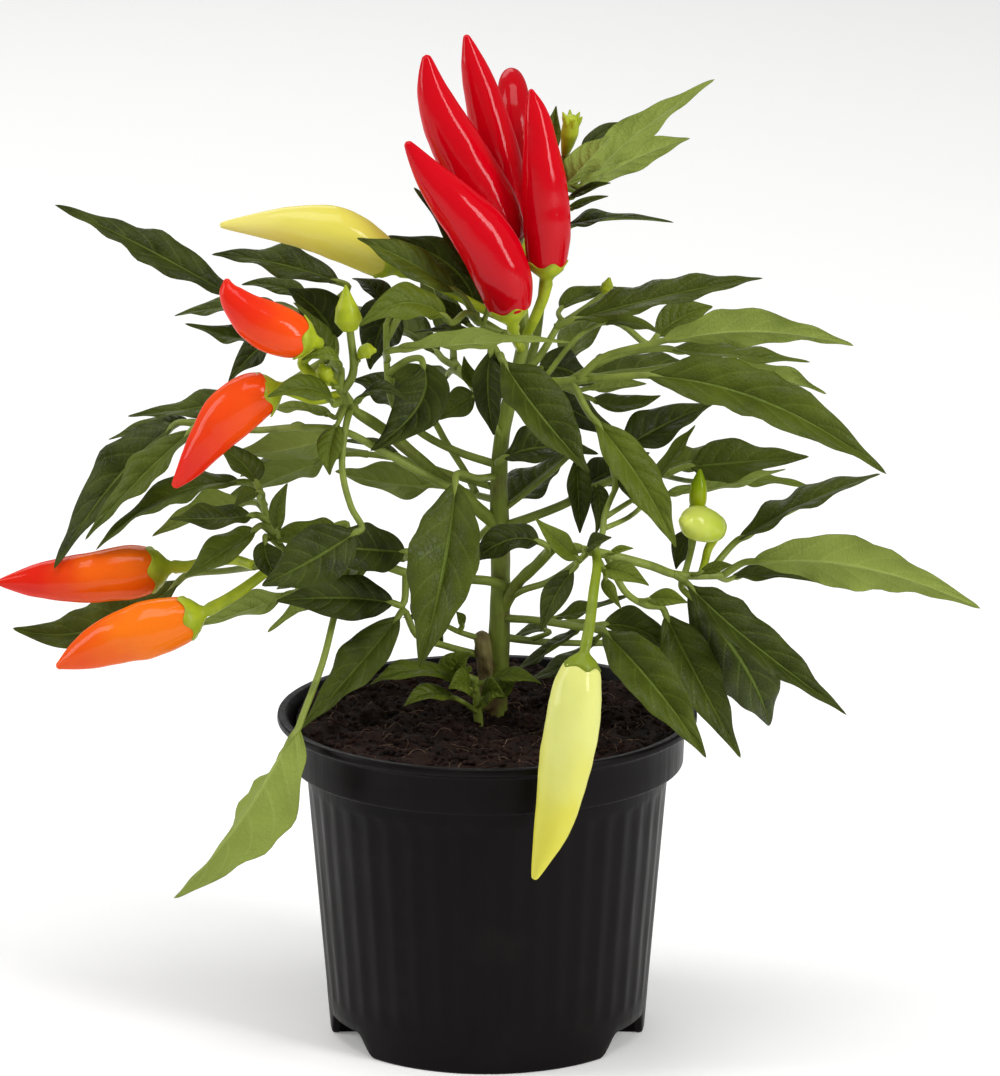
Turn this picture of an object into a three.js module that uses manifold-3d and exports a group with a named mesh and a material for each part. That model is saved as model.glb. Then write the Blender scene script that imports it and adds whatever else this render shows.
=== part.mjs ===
// A young chilli pepper plant with ripening fruit, standing in the soil of a black nursery pot.
// Lengths are millimetres, +Z is up, -Y is the front, and the pot's axis is the Z axis until the last lines.
import * as THREE from 'three';
import { mergeVertices } from 'three/addons/utils/BufferGeometryUtils.js';
import Module from 'manifold-3d';

const wasm = await Module();
wasm.setup();

// Driving dimensions of the pot
const lipRadius = 60;
const lipTop = 94.2;
const bandRadius = 56.4;
const bandBottom = 79.5;
const bodyTopRadius = 51.9;
const footRadius = 45.2;
const wall = 1.3;
const baseHeight = 6.6;
const baseThickness = 1.2;
const footWidth = 2;
const lipWidth = 2.8;
const notchFarEnd = [31.6, 28.4];
const notchNearEnd = [7.6, 8.8];
const sideFootLength = 10.4;
const sideFootWidth = 14.6;
const notchHeight = 6.3;
const fluteDepth = 0.55;
const sidesPlain = 44;
const sidesFluted = 88;
const drainHoles = 6;
const drainRadius = 4;
const drainCircle = 30;

// Driving dimensions of the plant
const seatGap = 0.3;
const bladeThickness = 0.9;
const soilLevel = 91.6;
const soilMound = 1.5;
const soilHeap = 1.4;
const longLeaf = 36;
const smallLeaf = 21;
const detail = 0.04;

// A place on the plant is [x, z, depth]: x and z are read in the upright plane through the pot's axis, seen
// from the eye point, and depth is how far behind that plane the place lies along the same line of sight.
const eye = new THREE.Vector3(3.64, -2000, 670);

function place([x, z, depth]) {
  const scale = (depth - eye.y) / -eye.y;
  return new THREE.Vector3(eye.x + (x - eye.x) * scale, depth, eye.z + (z - eye.z) * scale);
}

// A leaf: the route of its stalk from the stem, blade base, middle and tip, width, and the angle that its
// upper face is turned away from the eye (0 faces the eye, 90 faces up, past 90 shows the underside).
// Fold is the angle that each half is raised, wave the height of the margin's waves.
function leaf(route, base, middle, tip, width, face, fold = 18, wave = 0.9) {
  return { route, base, middle, tip, width, face, fold, wave };
}

// A stem or branch: the places that it passes, and its radius at the foot and at the end
function stem(route, footR, endR) {
  return { route, footR, endR };
}

// A fruit stalk: the places that it passes before it enters the cap of the named fruit
function stalk(fruit, route) {
  return { fruit, route };
}

// A bud: places along its axis, and its radius at each
function bud(axis, radii) {
  return { axis, radii };
}

const fruits = {
  fruit_red_front: {
    color: '#c60d18',
    axis: [[6.6, 210.3, -13], [4.6, 220, -13], [-0.3, 231, -13], [-8.6, 241.3, -13], [-16.4, 250.4, -13],
      [-22.6, 259.6, -13]],
    radii: [4.6, 7.9, 8.3, 6.7, 4.2, 1.3],
  },
  fruit_red_left: {
    color: '#c60d18',
    axis: [[6, 230, 3], [2, 240, 3], [-5, 252, 3], [-11, 263.5, 3], [-15.3, 274.5, 3], [-17, 284.3, 3]],
    radii: [4.4, 7.2, 7.6, 6.5, 4.3, 1.5],
  },
  fruit_red_middle: {
    color: '#c60d18',
    axis: [[6.8, 232, 17], [5.5, 243, 17], [2.9, 256, 17], [-0.1, 268, 17], [-3.3, 280, 17],
      [-5.9, 290, 17]],
    radii: [4.2, 6.4, 6.4, 5.6, 3.9, 1.1],
  },
  fruit_red_back: {
    color: '#b80c17',
    axis: [[9.5, 236, 29], [9.2, 247, 29], [8.4, 259, 30.5], [7.6, 270, 35], [6.9, 276.8, 42], [6.6, 279.2, 50]],
    radii: [4, 5, 5.2, 4.8, 3.6, 1.1],
  },
  fruit_red_right: {
    color: '#c60d18',
    axis: [[16.8, 223.4, -5], [16.8, 234, -5], [16.2, 246, -5], [15, 258, -5], [13.6, 268, -5],
      [12.2, 274.6, -5]],
    radii: [4.6, 6.7, 6.4, 5, 3.2, 0.8],
  },
  fruit_yellow_upper: {
    color: '#d9cc5c',
    axis: [[-27.5, 224.4, 0], [-34, 229.1, 0], [-42, 233.3, 0], [-52, 235.3, 0], [-62, 235.8, 0],
      [-75, 235.7, 0]],
    radii: [4.2, 6.6, 7.6, 6, 4, 0.9],
  },
  fruit_scarlet_upper: {
    color: '#e8401a',
    axis: [[-51.3, 202.9, -21], [-56, 204.2, -22], [-62, 206.8, -23], [-68, 211, -24],
      [-72.4, 216.5, -24], [-73.3, 220.4, -24]],
    radii: [4.8, 6.8, 7, 5.4, 3, 1.1],
  },
  fruit_scarlet_lower: {
    color: '#e8401a',
    axis: [[-61.2, 187.6, -19], [-66.5, 185.6, -20], [-73, 180.6, -21], [-78.6, 173.5, -22],
      [-84, 165.8, -22], [-88.8, 159.8, -22]],
    radii: [4.8, 7.2, 7.5, 5.7, 3.6, 1.3],
  },
  fruit_orange_far: {
    color: '#e2481a',
    axis: [[-93.4, 136, 2], [-100, 135.1, 2], [-109, 133.9, 2], [-119, 132.9, 2], [-129, 132.3, 2],
      [-139.4, 131.9, 2]],
    radii: [5, 7.7, 7.4, 6.4, 4.6, 1],
  },
  fruit_orange_near: {
    color: '#ec6a16',
    axis: [[-83.6, 122.2, -15], [-89, 120.3, -15], [-98, 117.7, -16], [-107, 114.7, -16],
      [-115.5, 110.7, -16], [-122.8, 106.9, -16]],
    radii: [4.8, 7.2, 8.2, 7, 4.6, 1.2],
  },
  fruit_yellow_hanging: {
    color: '#d7d667',
    axis: [[27.2, 108.6, -66], [25.6, 99.5, -67], [24, 88.5, -68], [22, 76, -68], [18.8, 60, -68],
      [13.4, 43.6, -68]],
    radii: [3.9, 6.9, 7.6, 7, 5.2, 1.1],
  },
  fruit_squat: {
    color: '#c2cf5e',
    axis: [[65, 147.6, -13], [62.4, 148.6, -17], [58.4, 149.6, -22], [55, 150, -26.5]],
    radii: [2.7, 4.7, 4.6, 1.9],
  },
  fruit_green_small: {
    color: '#7d9f14',
    axis: [[59.6, 153.6, -13], [59.7, 156.5, -13], [59.9, 160.5, -13], [60.2, 165.2, -13]],
    radii: [1.7, 2.5, 2.2, 0.6],
  },
};

// The main stem with its two thick branches and the woody stump at its foot
const mainStem = [
  stem([[1.8, 77, 0], [2.4, 95, 0], [3.2, 112, 0], [3.7, 128, 0], [3.7, 146, 0], [3.2, 160, 0],
    [3.8, 172, 0.5],
    [6, 184, 1], [9, 195.5, 2]], 3.5, 1.9),
  stem([[3.4, 148, 0], [-8, 158.5, -5], [-17, 166, -7], [-26, 174, -9], [-40, 184, -12]], 1.9, 1.6),
  stem([[3.8, 122, 0], [8, 131, -5], [14, 137, -13], [20, 142.5, -22], [28, 141.5, -33]], 1.7, 1.4),
  stem([[1, 95, -0.4], [0, 105, -1], [-1, 112, -1.6], [-1.6, 117.6, -2.2]], 2.8, 2.3),
];

const shoots = {
  left_shoot: {
    stems: [
      stem([[-38.5, 183, -12], [-41, 187, -14], [-41.2, 194, -15.5]], 1.7, 1.1),
      stem([[-40.8, 187.6, -14.2], [-37.8, 193, -16], [-38.6, 206, -17]], 1.3, 1.1),
    ],
    stalks: [
      stalk('fruit_scarlet_upper', [[-41, 190, -14.6], [-48.5, 192, -13], [-52, 196, -11.5],
        [-48.5, 200, -14]]),
      stalk('fruit_scarlet_lower', [[-41, 187, -14], [-48, 185.4, -14], [-54, 187.4, -17]]),
    ],
    buds: [
      bud([[-38.6, 205.5, -17], [-39, 208.4, -17], [-39.4, 212, -17], [-39.7, 218.2, -17]],
        [2.2, 4, 3.2, 0.4]),
      bud([[-36, 197.6, -17.4], [-34.8, 199, -18], [-33.3, 199.6, -18], [-31.8, 199.6, -18]],
        [0.8, 2, 2.2, 0.8]),
      bud([[-44.6, 190.6, -18], [-45.3, 192.2, -19], [-46.2, 194, -19.5], [-46.6, 195.4, -19.5]],
        [0.9, 2.2, 2.3, 0.8]),
    ],
    leaves: [
      leaf([[-39, 183.6, -12.3]], [-37, 184.4, -17], [-31, 188.5, -24], [-22, 185, -28], 8, 60),
      leaf([[-41.2, 193, -15.3]], [-41.4, 194.6, -18], [-44.6, 198.6, -21], [-52.3, 196.8, -23], 8, 60),
      leaf([[-40.6, 186.2, -13.6]], [-43.6, 185, -19], [-50.5, 189, -27], [-62, 186.2, -31], 10, 40),
      leaf([[-40.2, 185.4, -13]], [-44.5, 181, -12], [-53, 183, -6], [-63, 182.5, 2], 6.5, 60),
      leaf([[-41.2, 193.8, -15.4]], [-43.8, 198, -9], [-47.5, 205.8, -5], [-54.5, 213.5, -3], 8, 60),
      leaf([[-39.6, 184.6, -12.8]], [-42.4, 178, -19], [-44.5, 171, -23], [-44.5, 163.3, -24], 8, 20),
      leaf([[-38.6, 183, -12], [-40, 177, -19], [-41, 165, -24], [-38.5, 154, -25]], [-37.5, 146.5, -27],
        [-50, 138.5, -32], [-64, 131, -33], 18, 8),
      leaf([[-37.9, 193, -16]], [-36.6, 196.6, -17], [-35.9, 198, -17.5], [-34.9, 199.2, -18], 1.6, 60),
      leaf([[-41.1, 189, -14.4]], [-43, 189, -16.8], [-44, 190, -17.6], [-45, 191.8, -18.6], 1.8, 60),
    ],
  },
  left_back_shoot: {
    stems: [
      stem([[-37.6, 182.8, -10.6], [-42, 190, 0.6], [-45, 199, 9], [-46.4, 211, 18.5]], 1.5, 1),
    ],
    leaves: [
      leaf([[-46.1, 208.4, 16.2]], [-71, 215, 20], [-95, 229.2, 25], [-121, 241.5, 24], 14, 45),
      leaf([[-45.7, 205.4, 13.6]], [-60, 213, 30], [-74, 212.4, 36], [-88, 209.6, 40], 9, 60),
      leaf([[-45.3, 201.8, 10.4]], [-57, 202.6, 26], [-70, 203.6, 32], [-85, 207.4, 35], 11, 60),
      leaf([[-44.6, 197.4, 6.2]], [-64, 187, 10], [-82, 183.4, 16], [-101.5, 180.6, 20], 10.5, 50),
      leaf([[-45.1, 200, 9]], [-57, 205, 14], [-65, 200, 14], [-73, 190, 12], 11, 40),
      leaf([[-43.8, 194.4, 3]], [-43, 203, 8], [-47, 210.6, 7], [-56, 217.5, 9], 16, 20),
      leaf([[-46.4, 210.8, 18.4]], [-42, 219.5, 18], [-58, 225, 19], [-77.3, 227.3, 19], 14, 50),
      leaf([[-46.2, 209.6, 17.3]], [-51, 214.6, 27], [-59, 218.4, 30], [-69, 218.6, 31], 8, 50),
    ],
  },
  far_left_leaves: {
    stems: [
      stem([[-9, 159, -5.3], [-14, 161.5, -11], [-29, 170, -14], [-41, 176.3, -15.5], [-53, 177.3, -12],
        [-66, 176.5, -3], [-80, 178, 7]], 1.2, 0.9),
    ],
    leaves: [
      leaf([[-79.6, 178, 6.8]], [-89, 177.5, 10], [-105.5, 162.4, 14], [-123, 136, -5], 18, 42),
      leaf([[-77.4, 177.8, 5]], [-85, 179, 14], [-95, 177.4, 21], [-107, 173.8, 27], 8, 50),
      leaf([[-68, 176.6, -1.6], [-75, 177.4, 0]], [-84, 176, 0], [-98.5, 162.8, -1],
        [-114, 144.5, -1], 13, 48),
      leaf([[-41, 176.3, -15.5]], [-43, 175.5, -8], [-57, 171.5, 0], [-72, 169.5, 6], 14, 140),
    ],
  },
  inner_left_leaves: {
    stems: [
      stem([[1.5, 160, 0], [-10, 163.5, 3], [-22, 167.5, 5], [-34, 169.5, 6], [-42, 169.5, 6]], 1.1, 0.8),
    ],
    leaves: [
      leaf([[-41.6, 169.5, 6]], [-46, 168, 7], [-58, 164, 12], [-74, 156, 16], 14, 130),
      leaf([[-22, 167.5, 5]], [-25.5, 169.4, 7], [-32.5, 172.4, 10], [-42, 173.6, 12], 6, 60),
      leaf([[-34, 169.5, 6]], [-46, 171, 24], [-57, 168.5, 40], [-70, 163, 54], 14, 55),
    ],
  },
  left_middle_leaf: {
    leaves: [
      leaf([[3.2, 156, 0], [-3, 157.6, 6], [-10, 159.8, 11]], [-16, 160.6, 15], [-29, 162, 20],
        [-43, 164.5, 24], 14, 135),
      leaf([[-3, 157.6, 6], [-6, 164, 14], [-12, 173.7, 20]], [-17, 181, 24], [-27, 188, 29],
        [-38, 191, 32], 15, 40),
    ],
  },
  left_lower_branch: {
    stems: [
      stem([[6, 130.5, -2], [1, 132.3, -5.5], [-7, 133, -9], [-20, 134, -11], [-30, 137, -13],
        [-42, 139, -14.5],
        [-54, 138, -14], [-66, 136.8, -10.4]], 1.4, 1.1),
      stem([[-55.5, 138, -13.6], [-61, 147, -11], [-64.4, 159.5, -8.4]], 1.1, 0.9),
    ],
    stalks: [
      stalk('fruit_orange_far', [[-65.8, 136.8, -10.4], [-72, 138.6, -5], [-79, 138, -1],
        [-85, 136.6, 1.6]]),
      stalk('fruit_orange_near', [[-60, 137.4, -12.2], [-66, 132.5, -14], [-73, 127.5, -15]]),
    ],
    leaves: [
      leaf([[-42, 139, -14.5]], [-43, 148.6, -12], [-52, 146.8, -13], [-64, 143.8, -14], 11, 55),
      leaf([[-20, 134, -11]], [-23.5, 141, -13], [-36, 142, -21], [-52, 143, -28], 15, 15),
      leaf([[-23, 134.8, -11.6]], [-27, 126, -17], [-42, 127.5, -22], [-60, 126.5, -24], 14, 10),
      leaf([[-34, 137.6, -13.3]], [-40, 132, -13], [-51, 126, -13], [-62.5, 117.3, -14], 11, 120),
      leaf([[-39, 138.6, -14.2], [-43, 124, -17], [-47, 108, -28]], [-54, 88.6, -38], [-68.4, 61, -46],
        [-90, 38, -42], 25, 226, 38, 1.6),
      leaf([[-52, 138.2, -14]], [-57, 128.5, -9], [-70, 124, -6], [-84, 118.5, -4], 10, 130),
      leaf([[-63.4, 137, -11.2], [-74, 135.4, 5]], [-88, 132, 12], [-112, 118.4, 16],
        [-135, 118.5, 16], 17, 30),
      leaf([[-60, 145.4, -11.4]], [-66, 147.4, -14], [-75.5, 141, -17], [-86, 133.5, -19], 12, 40),
      leaf([[-57.6, 141.4, -12.6]], [-63, 143.6, -16], [-62, 138, -20], [-58.5, 131.5, -23], 9, 20),
      leaf([[-63, 154.4, -9.4]], [-70.5, 161.4, -3], [-91, 157.3, -2], [-111, 141.5, -2], 13, 55),
      leaf([[-62.2, 151.6, -10]], [-68, 155.6, 4], [-80, 153.4, 10], [-95, 145.5, 12], 12, 135),
      leaf([[-61.6, 149.2, -10.4]], [-67, 151.6, -13], [-78, 151, -17], [-90, 150.6, -20], 12, 50),
      leaf([[-64.4, 159.2, -8.4]], [-65.4, 161.4, -7.6], [-69.6, 167.6, -4], [-78, 173, 0], 11, 45),
      leaf([[-63.6, 156.6, -9]], [-65, 158.4, -13], [-68.4, 157.4, -15], [-72, 153.4, -16], 6, 45),
      leaf([[-58.8, 143.4, -12]], [-59.4, 147.4, -16], [-59, 154.4, -18], [-56.5, 161, -18], 6, 30),
    ],
  },
  low_left_leaf: {
    leaves: [
      leaf([[-2.6, 110.6, -1], [-12, 113.3, -6], [-20, 116.3, -11]], [-25.5, 121.6, -15], [-37.5, 107, -25],
        [-53, 88.8, -30], 14, 25, 22),
    ],
  },
  stump_leaves: {
    stems: [
      stem([[-2, 115.4, -2], [-8, 117.4, -4], [-12, 119.4, -7]], 0.9, 0.7),
    ],
    leaves: [
      leaf([[-8, 117.4, -4]], [-7, 119.4, -5], [-7.4, 121.4, -6], [-8.8, 123.4, -6], 4, 40),
      leaf([[-12, 119.4, -7]], [-14, 120.4, -7.6], [-18, 121.8, -7], [-24, 121.6, -6], 5, 50),
    ],
  },
  left_inner_shoot: {
    stems: [
      stem([[2.6, 166.5, 0], [-9, 170.5, -1.6], [-19, 176, -3.6], [-26, 183, -5], [-28, 192, -6],
        [-28.4, 207, -4]], 1.2, 0.9),
    ],
    leaves: [
      leaf([[-28, 193, -6], [-22, 197, -9]], [-18, 195.5, -12], [-19.5, 183.5, -16],
        [-33, 170.5, -20], 16, 10),
      leaf([[-27.5, 189, -5.7]], [-26.5, 191, -4], [-21, 193, 0], [-13.8, 193, 4], 8, 40),
      leaf([[-28.1, 197, -5.4]], [-25, 200, -19], [-2, 202.6, -28], [23.5, 202, -30], 10, 120),
      leaf([[-28.2, 203, -4.6]], [-24.5, 213, 3], [-30, 206, 10], [-33, 194, 13], 15, 15),
      leaf([[-28.4, 206.8, -4]], [-28, 211.6, 0], [-31.6, 217.6, 4], [-38, 220.4, 9], 9, 50),
    ],
  },
  front_leaf: {
    leaves: [
      leaf([[2.4, 163, 0], [-3, 162.6, -11]], [-9, 160.6, -20], [-13, 134, -34],
        [-19.3, 107, -37], 22, 10, 26, 1.6),
    ],
  },
  crown_shoot: {
    stems: [
      stem([[8.8, 194.4, 2], [10.2, 203, 3], [9.8, 212, 5], [9, 222, 9]], 1.9, 1.6),
      stem([[10.2, 203.6, 3], [2, 205.5, 1], [-3, 208, 0]], 1.1, 0.8),
    ],
    stalks: [
      stalk('fruit_red_front', [[9.6, 200, 2.5], [8.6, 202, -6], [7.4, 205, -10.5]]),
      stalk('fruit_red_left', [[9.6, 214.4, 6], [8.2, 221, 4]]),
      stalk('fruit_red_middle', [[9, 221.6, 9], [7.8, 225, 14]]),
      stalk('fruit_red_back', [[9.3, 218, 7.4], [11, 225, 22]]),
      stalk('fruit_red_right', [[10, 202, 2.8], [13, 208, -2], [15.8, 215, -4]]),
      stalk('fruit_yellow_upper', [[10, 206.6, 3.6], [-2, 212, 7.6], [-13, 218, 5.4], [-20.6, 221.6, 1.6]]),
    ],
    leaves: [
      leaf([[-2.8, 207.9, 0]], [-9, 217, -6], [-22, 225.5, -12], [-36.5, 232, -15], 11, 30),
      leaf([[5, 204.7, 1.6]], [2, 203.6, -6], [-8, 205.6, -10], [-21, 204.8, -12], 8, 75),
      leaf([[0.6, 206, 0.6]], [-5, 207, 4], [-10.5, 211.4, 6.6], [-16, 216.4, 8], 6, 45),
      leaf([[3.4, 205.1, 1.4], [-1, 208, 8]], [-3, 211, 13], [-10, 224, 16], [-28, 232.6, 18], 15, 20),
      leaf([[-1.2, 207, 0.3]], [-0.6, 215, -0.6], [-8.6, 231, -3], [-20.5, 246.5, -4], 9, 40),
      leaf([[-2.2, 207.6, 0], [-6, 210.4, -7]], [-12, 209.6, -15], [-23, 213.6, -21],
        [-36, 206.6, -25], 12, 25),
    ],
  },
  crown_front_leaves: {
    stems: [
      stem([[7.4, 190, 1.4], [5, 194.4, -6], [3.8, 198.4, -13]], 1.2, 1),
    ],
    leaves: [
      leaf([[3.9, 198, -12.4]], [4.8, 196.2, -17.4], [16, 181, -27], [29, 164, -30], 20, 30, 30),
      leaf([[4.6, 195.6, -8]], [1, 199, -11], [0.4, 187, -12], [2, 175, -12], 11, 25),
    ],
  },
  neck_leaves: {
    stems: [
      stem([[3.8, 174, 0.5], [1, 180, -5], [-2.4, 187, -8]], 1.1, 0.8),
    ],
    leaves: [
      leaf([[-1.6, 185.4, -7.4]], [-3.6, 186.4, -8], [-8, 184.2, -8], [-13.4, 179.5, -6], 9, 10),
      leaf([[-2.4, 186.8, -8]], [-3.4, 189, -7], [-5.5, 193, -5], [-6.5, 198, -4], 6, 40),
    ],
  },
  inner_right_leaf: {
    leaves: [
      leaf([[3.4, 167.6, 0]], [5, 168.6, -7], [16, 172, -9], [31.5, 169.6, -8], 15, 48),
    ],
  },
  top_right_shoot: {
    stems: [
      stem([[8, 191, 1.7], [12.8, 199, 7], [15, 212, 11.4], [16.4, 226, 13], [18.5, 240, 13],
        [21.8, 256, 7]], 1.4, 0.9),
    ],
    buds: [
      bud([[21.8, 256, 7], [22.4, 258.5, 6], [23.1, 262, 5], [23.6, 265.3, 4]], [1.1, 1.8, 2.5, 2.3]),
    ],
    leaves: [
      leaf([[20.6, 250, 9.2]], [27.5, 248.6, 7], [42, 262.6, 8], [63.5, 277.3, 8], 11, 148),
      leaf([[20, 247.4, 10.2]], [28, 247.6, 15], [42, 255.6, 20], [56.7, 260.5, 22], 11, 148),
      leaf([[19.4, 244.6, 11.2]], [21, 247, 4], [27.5, 254, 0], [34.5, 261.5, -2], 11, 150),
      leaf([[21.3, 253.6, 7.8]], [27, 256.7, 14], [32, 262, 18], [38.5, 265, 21], 6, 40),
      leaf([[18.9, 242, 12.2]], [23, 243.5, 5], [28.5, 246.2, 2], [34.7, 247.8, 0], 5, 60),
      leaf([[18.4, 239.4, 13]], [23, 240.4, 9], [28, 242.5, 8], [34, 244, 7], 5, 60),
      leaf([[17.4, 233, 13]], [21, 234.6, 10], [34, 238, 9], [52.3, 236.5, 9], 9, 72),
      leaf([[20.9, 251.6, 8.6]], [18.4, 256, 14], [18.6, 263, 17], [19.3, 269.8, 19], 5, 20),
      leaf([[11.4, 196.8, 5.4]], [15, 194.4, 8], [23, 194, 13], [32, 187.5, 17], 12, 30),
    ],
  },
  upper_right_shoot: {
    stems: [
      stem([[7.8, 190.4, 1.5], [14.4, 197.4, 0], [21, 208.6, 3]], 1.3, 0.9),
      stem([[19.6, 206.6, 2.4], [27, 211.5, 9], [33, 216, 12]], 0.9, 0.8),
    ],
    buds: [
      bud([[33, 215.8, 12], [33.4, 217, 12.3], [33.9, 218.6, 12.6], [34.3, 220.2, 12.8]],
        [0.9, 1.8, 1.7, 0.6]),
    ],
    leaves: [
      leaf([[19.4, 206.4, 2.4]], [24.6, 208.6, 0], [50, 215.8, -5], [77.5, 220.5, -7], 14, 50),
      leaf([[20.9, 208.4, 3]], [21, 212, 9], [27, 216, 15], [38, 217.6, 20], 7, 45),
      leaf([[26, 210.8, 8.2], [38, 207, 18]], [48, 204, 25], [55, 209.5, 28], [63.5, 212.3, 31], 11, 20),
    ],
  },
  right_fan: {
    stems: [
      stem([[6.2, 185.4, 1.2], [15, 190, -3.4], [22, 190.6, -7], [29, 191.2, -10]], 1.6, 1.1),
    ],
    leaves: [
      leaf([[25.6, 190.9, -8.6], [32, 197.4, -11]], [50, 202.6, -16], [76, 205.8, -22],
        [103.2, 201, -22], 13.5, 140),
      leaf([[15.6, 190.8, -3.4], [25, 203, -1.6]], [33, 207.6, 2], [41, 207.8, 7], [49.5, 204, 11], 8, 60),
      leaf([[22.8, 190.6, -7.4], [36, 198, -6]], [52, 200, -7], [70, 198.5, -8], [91, 196.3, -8], 10, 60),
      leaf([[28.8, 191.2, -10]], [45.5, 192.4, -18], [79, 185.2, -31], [113, 163.7, -33], 19, 30, 24, 1.3),
      leaf([[20.4, 190.7, -6], [42, 193.4, 1]], [64, 196, 5], [81, 192.8, 8], [95.7, 187, 8], 10, 120),
      leaf([[18.6, 190.8, -5]], [29, 188.8, -1], [37, 189.8, 0], [45, 190, 0], 7, 130),
      leaf([[16.8, 190.8, -4]], [30, 185.4, 5], [39, 184, 8], [49, 186.6, 10], 9, 50),
      leaf([[24, 190.7, -8]], [31, 178.8, -16], [44, 161.2, -27], [53.5, 142.2, -32], 13, 20),
    ],
  },
  right_middle_shoot: {
    stems: [
      stem([[3.7, 148, 0], [13, 151.3, -4], [22, 155, -6], [33, 161, -5], [42, 164, -5],
        [51, 163.6, -5]], 1.4, 1),
    ],
    leaves: [
      leaf([[29, 158.8, -5.4]], [30.5, 160.5, -8], [32, 154.5, -11], [30.7, 146, -12], 6, 25),
      leaf([[50.6, 163.7, -5]], [57.5, 166, -4], [71, 167.5, -5], [91, 168.8, -7], 15, 35, 18, 1.2),
      leaf([[48, 163.8, -5], [58, 161.6, 7]], [68, 162.3, 13], [80, 162, 16], [93, 159.3, 18], 8, 60),
      leaf([[41, 163.8, -5], [46, 165, 8]], [50, 165.5, 18], [64, 168.5, 32], [81, 166.5, 46], 13, 55),
      leaf([[23, 155.5, -6], [25, 158, -1]], [28, 161, 4], [36, 165.4, 10], [46, 170, 14], 12, 40),
    ],
  },
  right_hanging_leaf: {
    leaves: [
      leaf([[3.7, 152.5, 0], [12, 159, -1], [19, 165, -3]], [25.4, 167.6, -8], [26, 157, -14],
        [26.3, 146.3, -15], 8.5,
        20, 30),
    ],
  },
  middle_leaf: {
    leaves: [
      leaf([[16, 139.2, -16]], [14.5, 144, -25], [5, 144.4, -27], [-6, 136, -25], 12, 40),
    ],
  },
  right_shoot: {
    stems: [
      stem([[27, 141.5, -32], [33, 140.4, -32.6], [46, 137, -28], [54, 134.2, -22],
        [67, 134, -17]], 1.4, 1.1),
      stem([[56, 134, -21.2], [58, 142, -12], [59.2, 148, -10.4]], 1, 0.9),
      stem([[28, 141.2, -32.6], [29.4, 141.2, -35.6], [31, 140.8, -38.6]], 1.3, 1.1),
      stem([[5, 126.5, -1.5], [10, 129.6, -7], [17, 132, -16], [25, 137.4, -30],
        [29, 141.2, -34.8]], 1, 0.9),
      stem([[30, 141, -33], [32.4, 145.4, -32], [33.4, 152, -27], [37, 161, -16]], 1, 0.8),
    ],
    stalks: [
      stalk('fruit_squat', [[60.6, 134.1, -19.4], [61.8, 138, -14], [62.8, 142, -11]]),
      stalk('fruit_green_small', [[59, 146.8, -10.6], [59.4, 149.6, -12]]),
      stalk('fruit_yellow_hanging', [[30.8, 140.9, -38.2], [31.2, 137, -44], [30.2, 129, -54],
        [29.2, 120, -61]]),
    ],
    leaves: [
      leaf([[62.6, 134.1, -18.6], [67, 140, -14]], [71.6, 144.8, -13], [89, 155.4, -16],
        [111.3, 163.8, -16], 17, 65),
      leaf([[66.8, 134, -17]], [76, 138.2, -18], [107, 136.6, -26], [140.2, 124.3, -28], 16, 155, 14, 1.4),
      leaf([[64.8, 134, -17.8]], [70, 133.4, -13], [81, 134.4, -8], [97, 131.4, -6], 7, 60),
      leaf([[52.6, 134.7, -23]], [57.5, 131, -25], [76.6, 114, -38], [102.6, 92.8, -43], 16, 35, 28, 1.3),
      leaf([[55.6, 134.1, -21.4]], [57.5, 128, -17], [73.4, 107.5, -22], [80.5, 89.5, -7], 22, 10),
      leaf([[34, 140, -32.2], [39, 129.5, -33], [45, 125.3, -28]], [51, 122, -25], [60, 104, -31],
        [72.4, 80, -33],
        15, 15),
      leaf([[42.6, 126.6, -30]], [46, 127, -33], [51, 127.4, -37], [57, 126, -39], 6.5, 30),
      leaf([[58.4, 134.1, -20.2]], [61, 135, -24], [65.6, 136.6, -26], [69.7, 137, -27], 4, 30),
      leaf([[57.8, 141.4, -12.6]], [56.8, 147, -7], [55, 141.5, -6], [53.6, 135.8, -7], 7, 20),
      leaf([[28.6, 141.2, -33.8]], [25.5, 139.4, -38], [20, 144, -42], [13.5, 151, -44], 7.5, 30),
      leaf([[29.4, 141.2, -35.4]], [28.4, 142, -39], [31, 144, -43], [35.3, 145.2, -45], 6, 40),
      leaf([[25.4, 137.7, -30.4]], [24, 135.2, -36], [19, 127.5, -40], [15.3, 117.3, -41], 8.5, 25),
      leaf([[31, 140.8, -38.4]], [33, 136, -42], [38.5, 135, -46], [46, 131, -49], 8.5, 40),
      leaf([[30.4, 141, -37.2]], [33.6, 133, -38], [35, 129, -40], [38.3, 124, -41], 5, 40),
      leaf([[30, 141, -36.6]], [35, 140.6, -38], [38, 141.6, -40], [41.5, 142, -41], 4, 50),
      leaf([[32.8, 147.6, -30.4], [40, 151, -23]], [51, 158, -4], [67, 161, 2], [84.5, 165.2, 6], 9, 120),
      leaf([[36.8, 160.6, -16.4]], [38, 171, -2], [50, 178.4, 5], [64, 184.3, 9], 14, 35),
      leaf([[36, 158.6, -19]], [38.2, 163.6, -15], [40, 160.4, -16], [41.6, 155, -17], 6.5, 30),
      leaf([[33.3, 151, -27.8], [41, 156, -21]], [47, 161, -16], [53, 169.5, -15], [58.8, 178, -15], 9, 60),
    ],
  },
  low_right_leaves: {
    stems: [
      stem([[3.4, 121.5, 0], [14, 120.8, -8], [25, 119, -17], [32, 118, -23]], 1.2, 0.9),
    ],
    leaves: [
      leaf([[31.4, 118.1, -22.4]], [33.5, 117.4, -26], [48, 101.4, -43], [62.6, 80, -48], 17, 15, 28),
      leaf([[27, 118.8, -19]], [33.5, 119.6, -15], [44, 118, -13], [54.5, 110.5, -12], 12, 30),
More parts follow.
